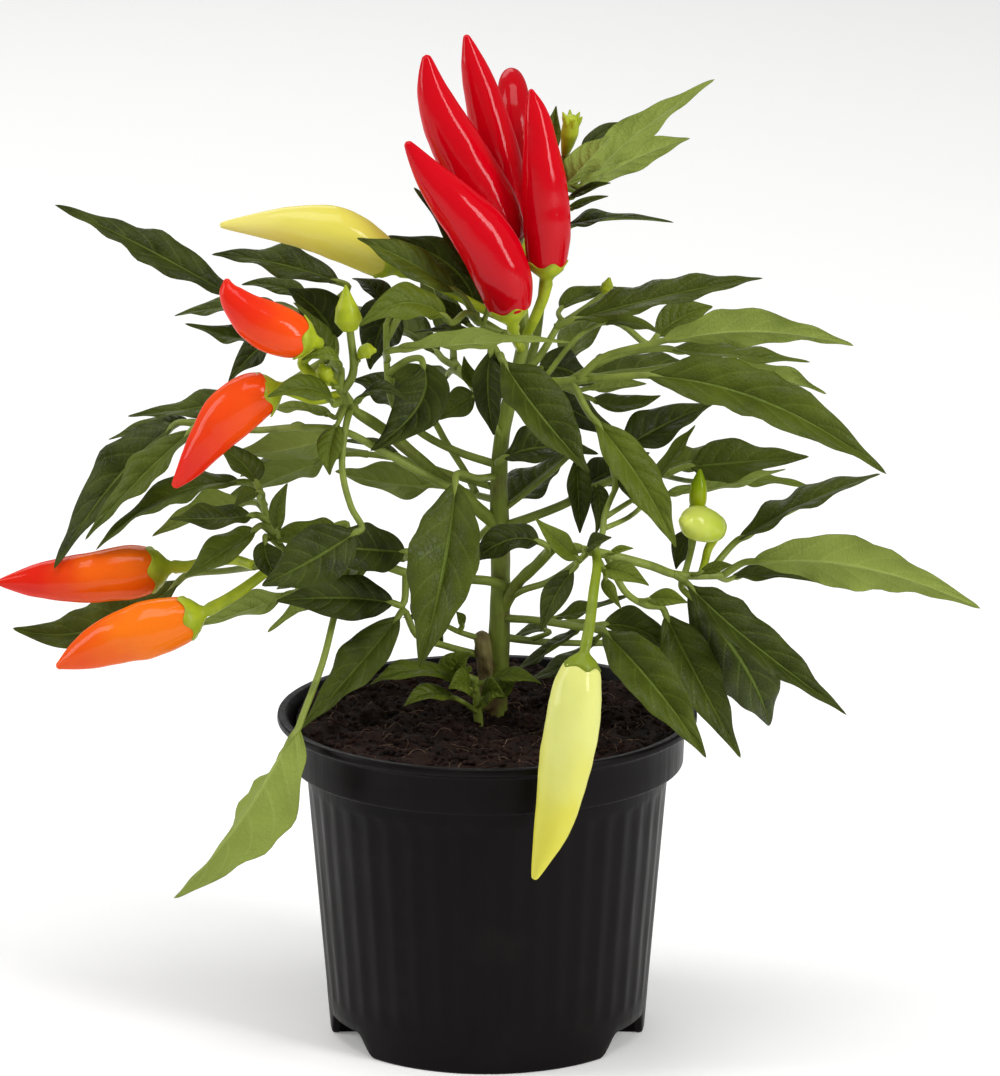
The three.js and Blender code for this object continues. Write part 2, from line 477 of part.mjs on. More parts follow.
      leaf([[19.6, 120, -12.6]], [26, 118.4, -5], [17, 112, 0], [6.8, 104.8, 8], 9, 70),
      leaf([[23.4, 119.4, -15.8]], [31, 115.4, -5], [22, 108, 5], [11, 103, 12], 9, 60),
      leaf([[14, 120.8, -8]], [19.5, 121.6, -6], [29, 124.4, -6], [41, 128.3, -7], 7, 60),
    ],
  },
  low_back_leaves: {
    stems: [
      stem([[3.3, 116, 0], [15, 114.5, 14], [28, 114, 28]], 1.2, 0.9),
    ],
    leaves: [
      leaf([[27.6, 114, 27.6]], [34, 114, 32], [48, 110.5, 46], [66, 103, 58], 16, 55),
      leaf([[12, 115, 10.5]], [16.5, 118, 13], [12, 118, 17], [5.5, 114, 20], 6, 60),
    ],
  },
  back_left_leaves: {
    stems: [
      stem([[4.4, 178, 0.6], [0, 183.6, 12], [-4, 189, 24], [-9.6, 197, 36]], 1.3, 0.9),
    ],
    leaves: [
      leaf([[-8, 194.6, 32.6]], [-14, 199, 38], [-29, 209, 53], [-50, 212, 67], 15, 60),
      leaf([[-5.6, 191.4, 27.6]], [-11, 193, 38], [-18.6, 186, 54], [-24, 177, 66], 14, 45),
      leaf([[-9.4, 196.8, 35.6]], [-10, 202, 40], [-14, 215, 54], [-18, 228, 64], 14, 40),
    ],
  },
  middle_back_leaves: {
    stems: [
      stem([[3.6, 141, 0], [-6, 141.4, 13], [-16, 140, 26], [-24, 139, 34]], 1.3, 0.9),
    ],
    leaves: [
      leaf([[-23.6, 139, 33.6]], [-28, 139, 37], [-42, 136.4, 54], [-60, 130, 68], 16, 50),
      leaf([[-19, 139.7, 29]], [-19.5, 135, 36], [-16, 123, 50], [-13, 112.6, 56], 13, 30),
      leaf([[-6, 141.4, 13], [1, 149, 22]], [5, 155, 28], [13, 162, 38], [23, 170, 48], 15, 45),
    ],
  },
  back_right_leaves: {
    stems: [
      stem([[6.2, 185, 1.1], [12, 188.6, 13], [18, 190, 25], [24, 191, 36]], 1.3, 0.9),
    ],
    leaves: [
      leaf([[23.6, 191, 35.4]], [29, 192.4, 40], [46, 195, 56], [68, 192, 70], 16, 60),
      leaf([[18, 190, 25]], [22, 186, 38], [22, 177, 54], [16, 169, 66], 14, 40),
      leaf([[21, 190.4, 30.6]], [22.6, 195.6, 38], [29, 208, 54], [42, 214, 66], 13, 45),
      leaf([[12, 188.6, 13]], [17, 186, 17], [27, 181, 22], [38.5, 173, 24], 12, 40),
    ],
  },
  basal_shoot: {
    stems: [
      stem([[-2.5, 80, -8], [-2.5, 91, -8], [-3, 98, -9.5], [-3.4, 103.4, -10.5]], 1.5, 1),
    ],
    leaves: [
      leaf([[-2.9, 97.4, -9.3]], [-9, 103, -13], [-21, 106.4, -18], [-33.5, 101.7, -23], 9, 50),
      leaf([[-2.6, 93.4, -8.4]], [-9.5, 98, -15], [-17, 99.4, -20], [-23.8, 95.4, -25], 7, 40),
      leaf([[-3.4, 103.2, -10.5]], [-6, 104.4, -11.4], [-9, 107.4, -12.6], [-4.8, 111.2, -13], 11, 15),
      leaf([[-3.1, 100.4, -10]], [-4.6, 100.4, -14], [-7, 102.6, -19], [-11, 100.6, -22], 9, 20),
      leaf([[-2.8, 95.4, -9]], [-1.4, 97.6, -14], [1, 100, -18], [5, 98.2, -21], 8, 15),
      leaf([[-3.2, 101.8, -10.2]], [1, 103.4, -12], [8, 104.6, -14], [15.5, 102, -16], 6.5, 50),
      leaf([[-2.7, 94, -8.6]], [2, 98.4, -10], [5, 101, -10], [8.6, 104.4, -9], 6, 25),
    ],
  },
};

// Solids

function solid(vertices, triangles) {
  const triVerts = new Uint32Array(triangles);
  const vertProperties = new Float32Array(vertices.length * 3);
  vertices.forEach((point, i) => point.toArray(vertProperties, i * 3));
  let sixVolumes = 0;
  const cross = new THREE.Vector3();
  for (let i = 0; i < triVerts.length; i += 3) {
    const [a, b, c] = [vertices[triVerts[i]], vertices[triVerts[i + 1]], vertices[triVerts[i + 2]]];
    sixVolumes += a.dot(cross.crossVectors(b, c));
  }
  if (sixVolumes < 0) triVerts.reverse();
  return new wasm.Manifold(new wasm.Mesh({ numProp: 3, vertProperties, triVerts }));
}

function solidFromGeometry(geometry) {
  geometry.deleteAttribute('normal');
  geometry.deleteAttribute('uv');
  const merged = mergeVertices(geometry, 1e-3);
  const { array } = merged.attributes.position;
  const vertices = [];
  for (let i = 0; i < array.length; i += 3) vertices.push(new THREE.Vector3().fromArray(array, i));
  return solid(vertices, [...merged.index.array]);
}

// Triangles from a ring of n points to the next ring, of m points, where m is n, 2n or n / 2.
// Quads named in otherWay are split along their other diagonal.
function strip(first, n, next, m, otherWay = []) {
  const triangles = [];
  const count = Math.min(n, m);
  for (let i = 0; i < count; i++) {
    const j = (i + 1) % count;
    if (n === m) {
      const [a, b, c, d] = [first + i, first + j, next + j, next + i];
      triangles.push(...(otherWay.includes(i) ? [a, b, d, b, c, d] : [a, b, c, a, c, d]));
    } else if (n < m) {
      const [a, b] = [first + i, first + j];
      const [c, half, d] = [next + 2 * i, next + 2 * i + 1, next + 2 * j];
      triangles.push(a, b, half, b, d, half, a, half, c);
    } else {
      const [a, half, b] = [first + 2 * i, first + 2 * i + 1, first + 2 * j];
      const [c, d] = [next + i, next + j];
      triangles.push(a, half, c, half, b, d, half, d, c);
    }
  }
  return triangles;
}

// Rings joined one to the next, with the given triangles over the first and the last
function loft(rings, firstCap, lastCap, otherWay) {
  const starts = rings.map((_, k) => rings.slice(0, k).flat().length);
  const triangles = rings.slice(1).flatMap((points, k) => (
    strip(starts[k], rings[k].length, starts[k + 1], points.length, otherWay)));
  for (const [a, b, c] of firstCap) triangles.push(a, c, b);
  for (const corners of lastCap) triangles.push(...corners.map((corner) => starts.at(-1) + corner));
  return solid(rings.flat(), triangles);
}

// The triangles that close a convex ring
function fan(count) {
  return Array.from({ length: count - 2 }, (_, i) => [0, i + 1, i + 2]);
}

// Part of a direction that is square to the tangent
function square(direction, tangent) {
  return direction.clone().addScaledVector(tangent, -direction.dot(tangent)).normalize();
}

// A round body with a ring of the given radius and number of sides at each point, square to a smooth curve
function tube(points, radii, sides, grow = 0) {
  const curve = new THREE.CatmullRomCurve3(points, false, 'centripetal');
  const last = points.length - 1;
  let up = new THREE.Vector3(0.3, -1, 0.2);
  const rings = points.map((point, i) => {
    const tangent = curve.getTangent(i / last);
    up = square(up, tangent);
    const across = new THREE.Vector3().crossVectors(up, tangent);
    const centre = point.clone().addScaledVector(tangent, i === last ? grow : i === 0 ? -grow : 0);
    return Array.from({ length: sides[i] }, (_, j) => {
      const angle = 2 * Math.PI * j / sides[i];
      return centre.clone()
        .addScaledVector(up, (radii[i] + grow) * Math.cos(angle))
        .addScaledVector(across, (radii[i] + grow) * Math.sin(angle));
    });
  });
  return loft(rings, fan(sides[0]), fan(sides[last]));
}

function stemSolid({ route, footR, endR }, sides, grow = 0) {
  const radii = route.map((_, i) => THREE.MathUtils.lerp(footR, endR, i / (route.length - 1)));
  return tube(route.map(place), radii, route.map(() => sides), grow);
}

// Leaf

// Places along the blade, as shares of its length, where its cross-sections stand
const longStations = [0, 0.17, 0.42, 0.72, 1];
const middleStations = [0, 0.3, 0.66, 1];
const smallStations = [0, 0.42, 1];

function stations(length) {
  if (length > longLeaf) return longStations;
  return length > smallLeaf ? middleStations : smallStations;
}

// Half width of the blade along its length, as a share of the full half width: widest before the middle,
// drawn out to a narrow tip
function outline(s) {
  return Math.max(0.07, Math.sin(Math.PI * s ** 0.76) ** 1.15);
}

function bladeCurve(row) {
  const [base, middle, tip] = [row.base, row.middle, row.tip].map(place);
  const control = middle.clone().multiplyScalar(2).sub(base.clone().add(tip).multiplyScalar(0.5));
  return new THREE.QuadraticBezierCurve3(base, control, tip);
}

// Direction that the blade's upper face looks to
function faceNormal(row, curve) {
  const chord = curve.v2.clone().sub(curve.v0).normalize();
  const toEye = eye.clone().sub(curve.getPoint(0.5)).normalize();
  toEye.addScaledVector(chord, -toEye.dot(chord)).normalize();
  const side = new THREE.Vector3().crossVectors(toEye, chord).multiplyScalar(chord.x < 0 ? -1 : 1);
  const angle = THREE.MathUtils.degToRad(row.face);
  return toEye.multiplyScalar(Math.cos(angle)).addScaledVector(side, Math.sin(angle));
}

// The cross-section has an edge, a midrib and an edge, each with a lower and an upper point
function bladeRings(row, curve) {
  const normal = faceNormal(row, curve);
  const length = curve.v0.distanceTo(curve.v2);
  const fold = THREE.MathUtils.degToRad(row.fold);
  return stations(length).map((s, i) => {
    const centre = curve.getPoint(s);
    const tangent = curve.getTangent(s);
    const up = square(normal, tangent);
    const across = new THREE.Vector3().crossVectors(up, tangent);
    const share = outline(s);
    const half = share * row.width / 2;
    const columns = [-1, 0, 1].map((v) => {
      const wave = length > smallLeaf ? row.wave * share * (i % 2 ? v : -v) : 0;
      return centre.clone()
        .addScaledVector(across, v * half * Math.cos(fold))
        .addScaledVector(up, (Math.abs(v) - 0.45) * half * Math.sin(fold) + wave);
    });
    const lower = columns.map((point) => point.clone().addScaledVector(up, -bladeThickness / 2));
    const upper = columns.map((point) => point.clone().addScaledVector(up, bladeThickness / 2));
    return [...lower, ...upper.reverse()];
  });
}

// The stalk has three sides, and the same way up as the foot of the blade
function stalkRings(row, curve) {
  const tangent = curve.getTangent(0);
  const gap = place(row.route.at(-1)).distanceTo(curve.v0);
  const points = row.route.map(place);
  if (gap > 4) points.push(curve.v0.clone().addScaledVector(tangent, -0.35 * Math.min(gap, 10)));
  const spine = new THREE.CatmullRomCurve3([...points, curve.v0], false, 'centripetal');
  const thick = row.width > 9 ? 1.2 : 1;
  let up = square(faceNormal(row, curve), tangent);
  const rings = [];
  for (let i = points.length - 1; i >= 0; i--) {
    const direction = spine.getTangent(i / points.length);
    up = square(up, direction);
    const across = new THREE.Vector3().crossVectors(up, direction);
    const radius = i === 0 ? 0.7 * thick : thick;
    rings.unshift([[-0.87, -0.5], [0.87, -0.5], [0, 1]].map(([u, v]) => points[i].clone()
      .addScaledVector(across, u * radius)
      .addScaledVector(up, v * radius)));
  }
  return rings;
}

function leafSolid(row) {
  const curve = bladeCurve(row);
  const rings = [...stalkRings(row, curve), ...bladeRings(row, curve)];
  return loft(rings, fan(3), [[0, 1, 4], [0, 4, 5], [1, 2, 3], [1, 3, 4]], [3, 4]);
}

// Fruit, and the stalk that widens into its cap

// A ring close to the foot gives the fruit its round shoulder
function fruitSolid({ axis, radii }, grow = 0) {
  const points = axis.map(place);
  points.splice(1, 0, points[0].clone().lerp(points[1], 0.35));
  const sizes = [radii[0], THREE.MathUtils.lerp(radii[0], radii[1], 0.6), ...radii.slice(1)];
  return tube(points, sizes, sizes.map(() => 8), grow);
}

// Place on the line of the fruit's foot, at a distance from its base
function onFoot({ axis }, distance) {
  const [base, next] = [place(axis[0]), place(axis[1])];
  return base.addScaledVector(next.sub(base).normalize(), distance);
}

// Laid from the cap's mouth back to the stem, so that the cap's eight sides lie along the fruit's eight sides
function fruitStalkSolid({ fruit, route }) {
  const foot = fruits[fruit].radii[0];
  const size = foot / 4.6;
  const cap = [1.6, -0.7, -3.4].map((distance) => onFoot(fruits[fruit], distance * size));
  const thick = 1.3 * Math.sqrt(size);
  const radii = [foot + 1.7 * size, foot + 0.9 * size, 1.9 * size, ...route.map(() => thick)];
  const sides = [8, 8, 8, ...route.map(() => 4)];
  return tube([...cap, ...route.map(place).reverse()], radii, sides);
}

function join(solids) {
  return solids.reduce((whole, piece) => whole.add(piece));
}

function mainStemSolid(grow = 0) {
  return join(mainStem.map((row, i) => stemSolid(row, i === 0 ? 7 : 5, grow))).simplify(detail);
}

// A leafy stem is cut back where it meets the main stem and its fruits, and only its one body is kept
function shootSolid({ stems = [], stalks = [], buds = [], leaves }) {
  const pieces = [
    ...stems.map((row) => stemSolid(row, row.footR > 1.2 ? 5 : 4)),
    ...stalks.map(fruitStalkSolid),
    ...buds.map(({ axis, radii }) => tube(axis.map(place), radii, radii.map(() => 5))),
    ...leaves.map(leafSolid),
  ];
  let shoot = join(pieces).subtract(mainStemSolid(seatGap));
  for (const { fruit } of stalks) shoot = shoot.subtract(fruitSolid(fruits[fruit], seatGap));
  const bodies = shoot.simplify(detail).decompose();
  return bodies.reduce((largest, body) => (body.volume() > largest.volume() ? body : largest));
}

// Pot

function ring(radius, z, count, flute = 0) {
  return Array.from({ length: count }, (_, i) => {
    const angle = 2 * Math.PI * i / count;
    const r = radius - (i % 2 ? flute : 0);
    return new THREE.Vector3(r * Math.cos(angle), r * Math.sin(angle), z);
  });
}

// Rings round the axis joined one to the next, closed in the middle
function turned(rings) {
  const starts = rings.map((_, k) => rings.slice(0, k).flat().length);
  const middles = [rings[0], rings.at(-1)].map(([{ z }]) => new THREE.Vector3(0, 0, z));
  const vertices = [...rings.flat(), ...middles];
  const [bottom, top] = [vertices.length - 2, vertices.length - 1];
  const triangles = rings.slice(1).flatMap((points, k) => (
    strip(starts[k], rings[k].length, starts[k + 1], points.length)));
  rings[0].forEach((_, i, { length }) => triangles.push(bottom, (i + 1) % length, i));
  const start = starts.at(-1);
  rings.at(-1).forEach((_, i, { length }) => triangles.push(top, start + i, start + (i + 1) % length));
  return solid(vertices, triangles);
}

// Prism along X that cuts a notch through both sides of the foot, in front of the axis or behind it.
// Each end of a notch has a distance from the axis at the ground and one below its rounded upper corner.
function notchSolid(side) {
  const shape = new THREE.Shape();
  const round = 2.5;
  const [near, far] = [notchNearEnd[1], notchFarEnd[1]];
  shape.moveTo(side * notchNearEnd[0], -1);
  shape.lineTo(side * notchFarEnd[0], -1);
  shape.lineTo(side * far, notchHeight - round);
  shape.quadraticCurveTo(side * (far - 0.6), notchHeight, side * (far - round), notchHeight);
  shape.lineTo(side * (near + round), notchHeight);
  shape.quadraticCurveTo(side * (near + 0.6), notchHeight, side * near, notchHeight - round);
  const reach = 2 * lipRadius;
  const geometry = new THREE.ExtrudeGeometry(shape, { depth: reach, bevelEnabled: false, curveSegments: 3 });
  const [x, y, z] = [new THREE.Vector3(1, 0, 0), new THREE.Vector3(0, 1, 0), new THREE.Vector3(0, 0, 1)];
  geometry.translate(0, 0, -reach / 2).applyMatrix4(new THREE.Matrix4().makeBasis(y, z, x));
  return solidFromGeometry(geometry);
}

// Block between a side's two notches, from the foot's wall inward
function sideFootSolid(side) {
  const geometry = new THREE.BoxGeometry(sideFootLength, sideFootWidth, baseHeight + 0.4);
  geometry.translate(side * (footRadius - 0.8 - sideFootLength / 2), 0, (baseHeight + 0.4) / 2);
  return solidFromGeometry(geometry);
}

function drainSolid(index) {
  const angle = 2 * Math.PI * (index + 0.5) / drainHoles;
  const geometry = new THREE.CylinderGeometry(drainRadius, drainRadius, 4, 6).rotateX(Math.PI / 2);
  const [x, y] = [drainCircle * Math.cos(angle), drainCircle * Math.sin(angle)];
  geometry.translate(x, y, baseHeight + baseThickness / 2);
  return solidFromGeometry(geometry);
}

function bodyRadius(z) {
  return THREE.MathUtils.mapLinear(z, 0, bandBottom, footRadius, bodyTopRadius);
}

function potSolid() {
  const floor = baseHeight + baseThickness;
  const shell = turned([
    ring(footRadius - footWidth, baseHeight, sidesPlain),
    ring(footRadius - footWidth, 0, sidesPlain),
    ring(footRadius, 0, sidesPlain),
    ring(bodyRadius(11), 11, sidesPlain),
    ring(bodyRadius(12.5), 12.5, sidesFluted, fluteDepth),
    ring(bodyRadius(74.5), 74.5, sidesFluted, fluteDepth),
    ring(bodyTopRadius, bandBottom - 0.6, sidesPlain),
    ring(bandRadius - 0.3, bandBottom, sidesPlain),
    ring(bandRadius, lipTop - 3.2, sidesPlain),
    ring(lipRadius, lipTop - 1.9, sidesPlain),
    ring(lipRadius - 0.5, lipTop, sidesPlain),
    ring(lipRadius - lipWidth, lipTop - 0.2, sidesPlain),
    ring(bandRadius - wall, lipTop - 3.6, sidesPlain),
    ring(bandRadius - wall - 0.3, bandBottom + wall, sidesPlain),
    ring(bodyTopRadius - wall, bandBottom - 0.2, sidesPlain),
    ring(bodyRadius(floor) - wall, floor, sidesPlain),
  ]);
  const drains = Array.from({ length: drainHoles }, (_, i) => drainSolid(i));
  const cuts = [...drains, notchSolid(-1), notchSolid(1)];
  const whole = join([shell, sideFootSolid(-1), sideFootSolid(1)]);
  return cuts.reduce((pot, cut) => pot.subtract(cut), whole);
}

// Soil

const soilGap = 0.35;

// Height of the soil's surface: a low mound round the stem, a heap against the rim at the back left, and
// lumps from a few crossing waves
function soilHeight(x, y) {
  const reach = Math.hypot(x, y) / bandRadius;
  const broad = Math.sin(0.19 * x + 1.3) * Math.cos(0.23 * y - 0.6);
  const lumps = broad + 0.7 * Math.sin(0.37 * x - 0.31 * y + 2.1);
  const heap = soilHeap * Math.max(0, y - x) / bandRadius * reach * reach;
  return soilLevel + soilMound * (1 - reach * reach) + heap + 0.75 * lumps;
}

function soilSolid() {
  const floor = baseHeight + baseThickness;
  const rings = [
    ring(bodyRadius(floor) - wall - soilGap, floor + soilGap, sidesPlain),
    ring(bodyTopRadius - wall - soilGap, bandBottom + 0.2, sidesPlain),
    ring(bandRadius - wall - 0.3 - soilGap, bandBottom + wall + soilGap, sidesPlain),
    ring(bandRadius - wall - soilGap, soilLevel - 0.8, sidesPlain),
  ];
  const surfaceRings = [50, 36, 20].map((radius) => ring(radius, 0, sidesPlain / (radius > 40 ? 1 : 2)));
  for (const points of surfaceRings) points.forEach((point) => { point.z = soilHeight(point.x, point.y); });
  const standing = [mainStem[0], shoots.basal_shoot.stems[0]];
  const [stemHole, shootHole] = standing.map((row) => stemSolid(row, 8, seatGap));
  return turned([...rings, ...surfaceRings]).subtract(stemHole).subtract(shootHole);
}

// Scene

const potPlastic = new THREE.MeshStandardMaterial({ color: '#1d1b1d', roughness: 0.38, metalness: 0 });
const peat = new THREE.MeshStandardMaterial({ color: '#2a1c17', roughness: 0.95, metalness: 0 });
const stemGreen = new THREE.MeshStandardMaterial({ color: '#56661c', roughness: 0.55, metalness: 0 });
const leafGreen = new THREE.MeshStandardMaterial({ color: '#41601f', roughness: 0.45, metalness: 0 });

const plant = new THREE.Group();

function addMesh(name, body, material) {
  const { vertProperties, triVerts, numProp } = body.getMesh();
  const positions = new Float32Array(vertProperties.length / numProp * 3);
  for (let i = 0; i < positions.length / 3; i++) {
    positions.set(vertProperties.subarray(i * numProp, i * numProp + 3), i * 3);
  }
  const geometry = new THREE.BufferGeometry();
  geometry.setAttribute('position', new THREE.BufferAttribute(positions, 3));
  geometry.setIndex(new THREE.BufferAttribute(new Uint32Array(triVerts), 1));
  geometry.computeVertexNormals();
  const mesh = new THREE.Mesh(geometry, material);
  mesh.name = name;
  plant.add(mesh);
}

addMesh('pot', potSolid(), potPlastic);
addMesh('soil', soilSolid(), peat);
addMesh('main_stem', mainStemSolid(), stemGreen);
for (const [name, shoot] of Object.entries(shoots)) addMesh(name, shootSolid(shoot), leafGreen);
for (const [name, fruit] of Object.entries(fruits)) {
  const skin = new THREE.MeshStandardMaterial({ color: fruit.color, roughness: 0.2, metalness: 0 });
  addMesh(name, fruitSolid(fruit), skin);
}

// The part's origin is the middle of the ground under it
const bounds = new THREE.Box3().setFromObject(plant);
const middle = bounds.getCenter(new THREE.Vector3());
plant.position.set(-middle.x, -middle.y, -bounds.min.z);

export default plant;
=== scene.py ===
# Potted chilli pepper plant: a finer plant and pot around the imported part, with the finishes,
# the studio and the camera of the photograph. Shapes are worked out in millimetres.
import math
from functools import partial

import bpy
import numpy as np
from mathutils import Matrix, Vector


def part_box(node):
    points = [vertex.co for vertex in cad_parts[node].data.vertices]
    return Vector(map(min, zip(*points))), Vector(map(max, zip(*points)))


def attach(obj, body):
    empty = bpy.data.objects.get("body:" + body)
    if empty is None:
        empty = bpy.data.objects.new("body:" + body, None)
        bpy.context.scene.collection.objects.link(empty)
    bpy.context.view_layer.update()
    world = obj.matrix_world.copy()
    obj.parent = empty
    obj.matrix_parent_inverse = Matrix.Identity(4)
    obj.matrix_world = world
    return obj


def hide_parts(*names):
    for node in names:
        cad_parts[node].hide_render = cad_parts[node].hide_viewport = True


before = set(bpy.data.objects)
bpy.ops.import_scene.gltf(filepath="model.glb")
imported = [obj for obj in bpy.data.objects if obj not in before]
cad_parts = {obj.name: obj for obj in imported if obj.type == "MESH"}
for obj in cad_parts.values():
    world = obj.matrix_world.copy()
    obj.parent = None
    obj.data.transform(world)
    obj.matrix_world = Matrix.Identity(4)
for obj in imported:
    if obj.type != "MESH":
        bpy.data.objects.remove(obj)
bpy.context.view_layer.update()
print("frame loaded:", len(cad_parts), "nodes")

potCorners = np.array([list(corner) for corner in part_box("pot")]) * 1000
potAxis = np.array([potCorners[:, 0].mean(), potCorners[:, 1].mean(), 0])
eye = np.array([3.64, -2000.0, 670.0])  # the camera's place, before the pot's axis is added
randomSeed = 11


# Places and curves

# A place on the plant is [x, z, depth]: x and z are read in the upright plane through the pot's
# axis, seen from the eye, and depth is how far behind that plane it lies on the same line of sight.
def place(route):
    x, z, depth = np.moveaxis(np.asarray(route, float), -1, 0)
    scale = (depth - eye[1]) / -eye[1]
    return np.stack([eye[0] + (x - eye[0]) * scale, depth, eye[2] + (z - eye[2]) * scale], -1)


# Each vector divided by its length
def unit(vectors):
    return vectors / np.maximum(np.linalg.norm(vectors, axis=-1, keepdims=True), 1e-12)


# The sum of the products of two vectors' coordinates, kept as a last axis of one
def dot(a, b):
    return (a * b).sum(-1, keepdims=True)


# Each vector less its share along the tangent, divided by its length
def square(vectors, tangents):
    return unit(vectors - dot(vectors, tangents) * tangents)


# Angles in even steps round a full turn
def roundAngles(count):
    return 2 * np.pi * np.arange(count) / count


# Points round the upright axis: radius cos angle, radius sin angle, height
def roundAxis(radius, angle, height):
    return np.stack(np.broadcast_arrays(radius * np.cos(angle), radius * np.sin(angle), height), -1)


# Centripetal Catmull-Rom curve: between two points it is the cubic whose end slopes come from the
# neighbouring points, spaced by the square root of their distance. t counts points along it.
def curveThrough(points, t):
    points = np.asarray(points, float)
    ends = [2 * points[0] - points[1], 2 * points[-1] - points[-2]]
    padded = np.vstack([ends[:1], points, ends[1:]])
    index = np.clip(t.astype(int), 0, len(points) - 2)
    u = (t - index)[:, None]
    p0, p1, p2, p3 = (padded[index + k] for k in range(4))
    d0, d1, d2 = (np.sqrt(np.maximum(np.linalg.norm(b - a, axis=1), 1e-9))[:, None]
                  for a, b in ((p0, p1), (p1, p2), (p2, p3)))
    slope1 = ((p1 - p0) / d0 - (p2 - p0) / (d0 + d1) + (p2 - p1) / d1) * d1
    slope2 = ((p2 - p1) / d1 - (p3 - p1) / (d1 + d2) + (p3 - p2) / d2) * d1
    square2 = 3 * (p2 - p1) - 2 * slope1 - slope2
    cube = 2 * (p1 - p2) + slope1 + slope2
    position = p1 + slope1 * u + square2 * u ** 2 + cube * u ** 3
    return position, unit(slope1 + 2 * square2 * u + 3 * cube * u ** 2)


# A direction carried along a path with as little turning as possible
def carried(tangents, up):
    ups = []
    for tangent in tangents:
        up = square(up, tangent)
        ups.append(up)
    return np.array(ups)


# Surfaces

# A closed body: rings of points, each joined to the next, and a fan from each end ring to its middle.
# It is turned right side out where its volume comes out negative.
def closedGrid(rings):
    count, columns = rings.shape[:2]
    points = np.vstack([rings.reshape(-1, 3), rings[0].mean(0), rings[-1].mean(0)])
    row, column = np.meshgrid(np.arange(count - 1), np.arange(columns), indexing="ij")
    beside = (column + 1) % columns
    quads = np.stack([row * columns + column, row * columns + beside,
                      (row + 1) * columns + beside, (row + 1) * columns + column], -1).reshape(-1, 4)
    j, k, end = np.arange(columns), (np.arange(columns) + 1) % columns, count * columns
    fans = np.vstack([np.stack([np.full(columns, end), k, j], -1),
                      np.stack([np.full(columns, end + 1), end - columns + j, end - columns + k], -1)])
    a, b, c, d = (points[quads[:, i]] for i in range(4))
    volume = (np.cross(a, b) * c).sum() + (np.cross(a, c) * d).sum()
    e, f, g = (points[fans[:, i]] for i in range(3))
    if volume + (np.cross(e, f) * g).sum() < 0:
        quads, fans = quads[:, ::-1], fans[:, ::-1]
    return points, quads, fans


# Round rings square to a path: centre + radius (cos angle up + sin angle across), with one radius a ring
def roundRings(centres, tangents, radii, columns, up=(0.3, -1, 0.2)):
    ups = carried(tangents, np.array(up, float))
    across = np.cross(ups, tangents)
    angle = roundAngles(columns)
    wheel = np.cos(angle)[None, :, None] * ups[:, None] + np.sin(angle)[None, :, None] * across[:, None]
    return centres[:, None] + radii[:, None, None] * wheel


# A rounded rod through places, with a radius at each place and a round end
def rod(points, radii, columns, perSpan=5, up=(0.3, -1, 0.2), rounded=True):
    t = np.linspace(0, len(points) - 1, (len(points) - 1) * perSpan + 1)
    centres, tangents = curveThrough(points, t)
    sizes = np.interp(t, np.arange(len(points)), radii)
    if rounded:    # three more rings close the end as a flattened half ball
        share = np.sin(np.linspace(0, np.pi / 2, 5)[1:4])
        ends = centres[-1] + tangents[-1] * share[:, None] * sizes[-1] * 0.9
        centres = np.vstack([centres, ends])
        tangents = np.vstack([tangents, np.repeat(tangents[-1:], 3, 0)])
        sizes = np.append(sizes, sizes[-1] * np.sqrt(1 - share ** 2))
    return closedGrid(roundRings(centres, tangents, sizes, columns, up))


# Smooth noise from a fixed set of crossing sine waves: each wave has its own direction and phase
def ripples(points, waveLength, count, seed):
    rng = np.random.default_rng(seed)
    directions = unit(rng.normal(size=(count, 3))) * rng.uniform(0.7, 1.4, (count, 1))
    phases = rng.uniform(0, 2 * np.pi, count)
    return np.sin(points @ directions.T * (2 * np.pi / waveLength) + phases).sum(-1) / math.sqrt(count)


# A part of a piece: its grid, the index of its material, four numbers a point for the material's pattern,
# and which points are marked. An edge between two marked points is sharp.
def partOf(grid, material=0, pattern=0.0, marked=False):
    count = len(grid[0])
    return {"grid": grid, "material": material, "pattern": np.broadcast_to(pattern, (count, 4)),
            "marked": np.broadcast_to(marked, count)}


# A new object with its data, linked to the scene
def linkNew(name, data):
    thing = bpy.data.objects.new(name, data)
    bpy.context.scene.collection.objects.link(thing)
    return thing


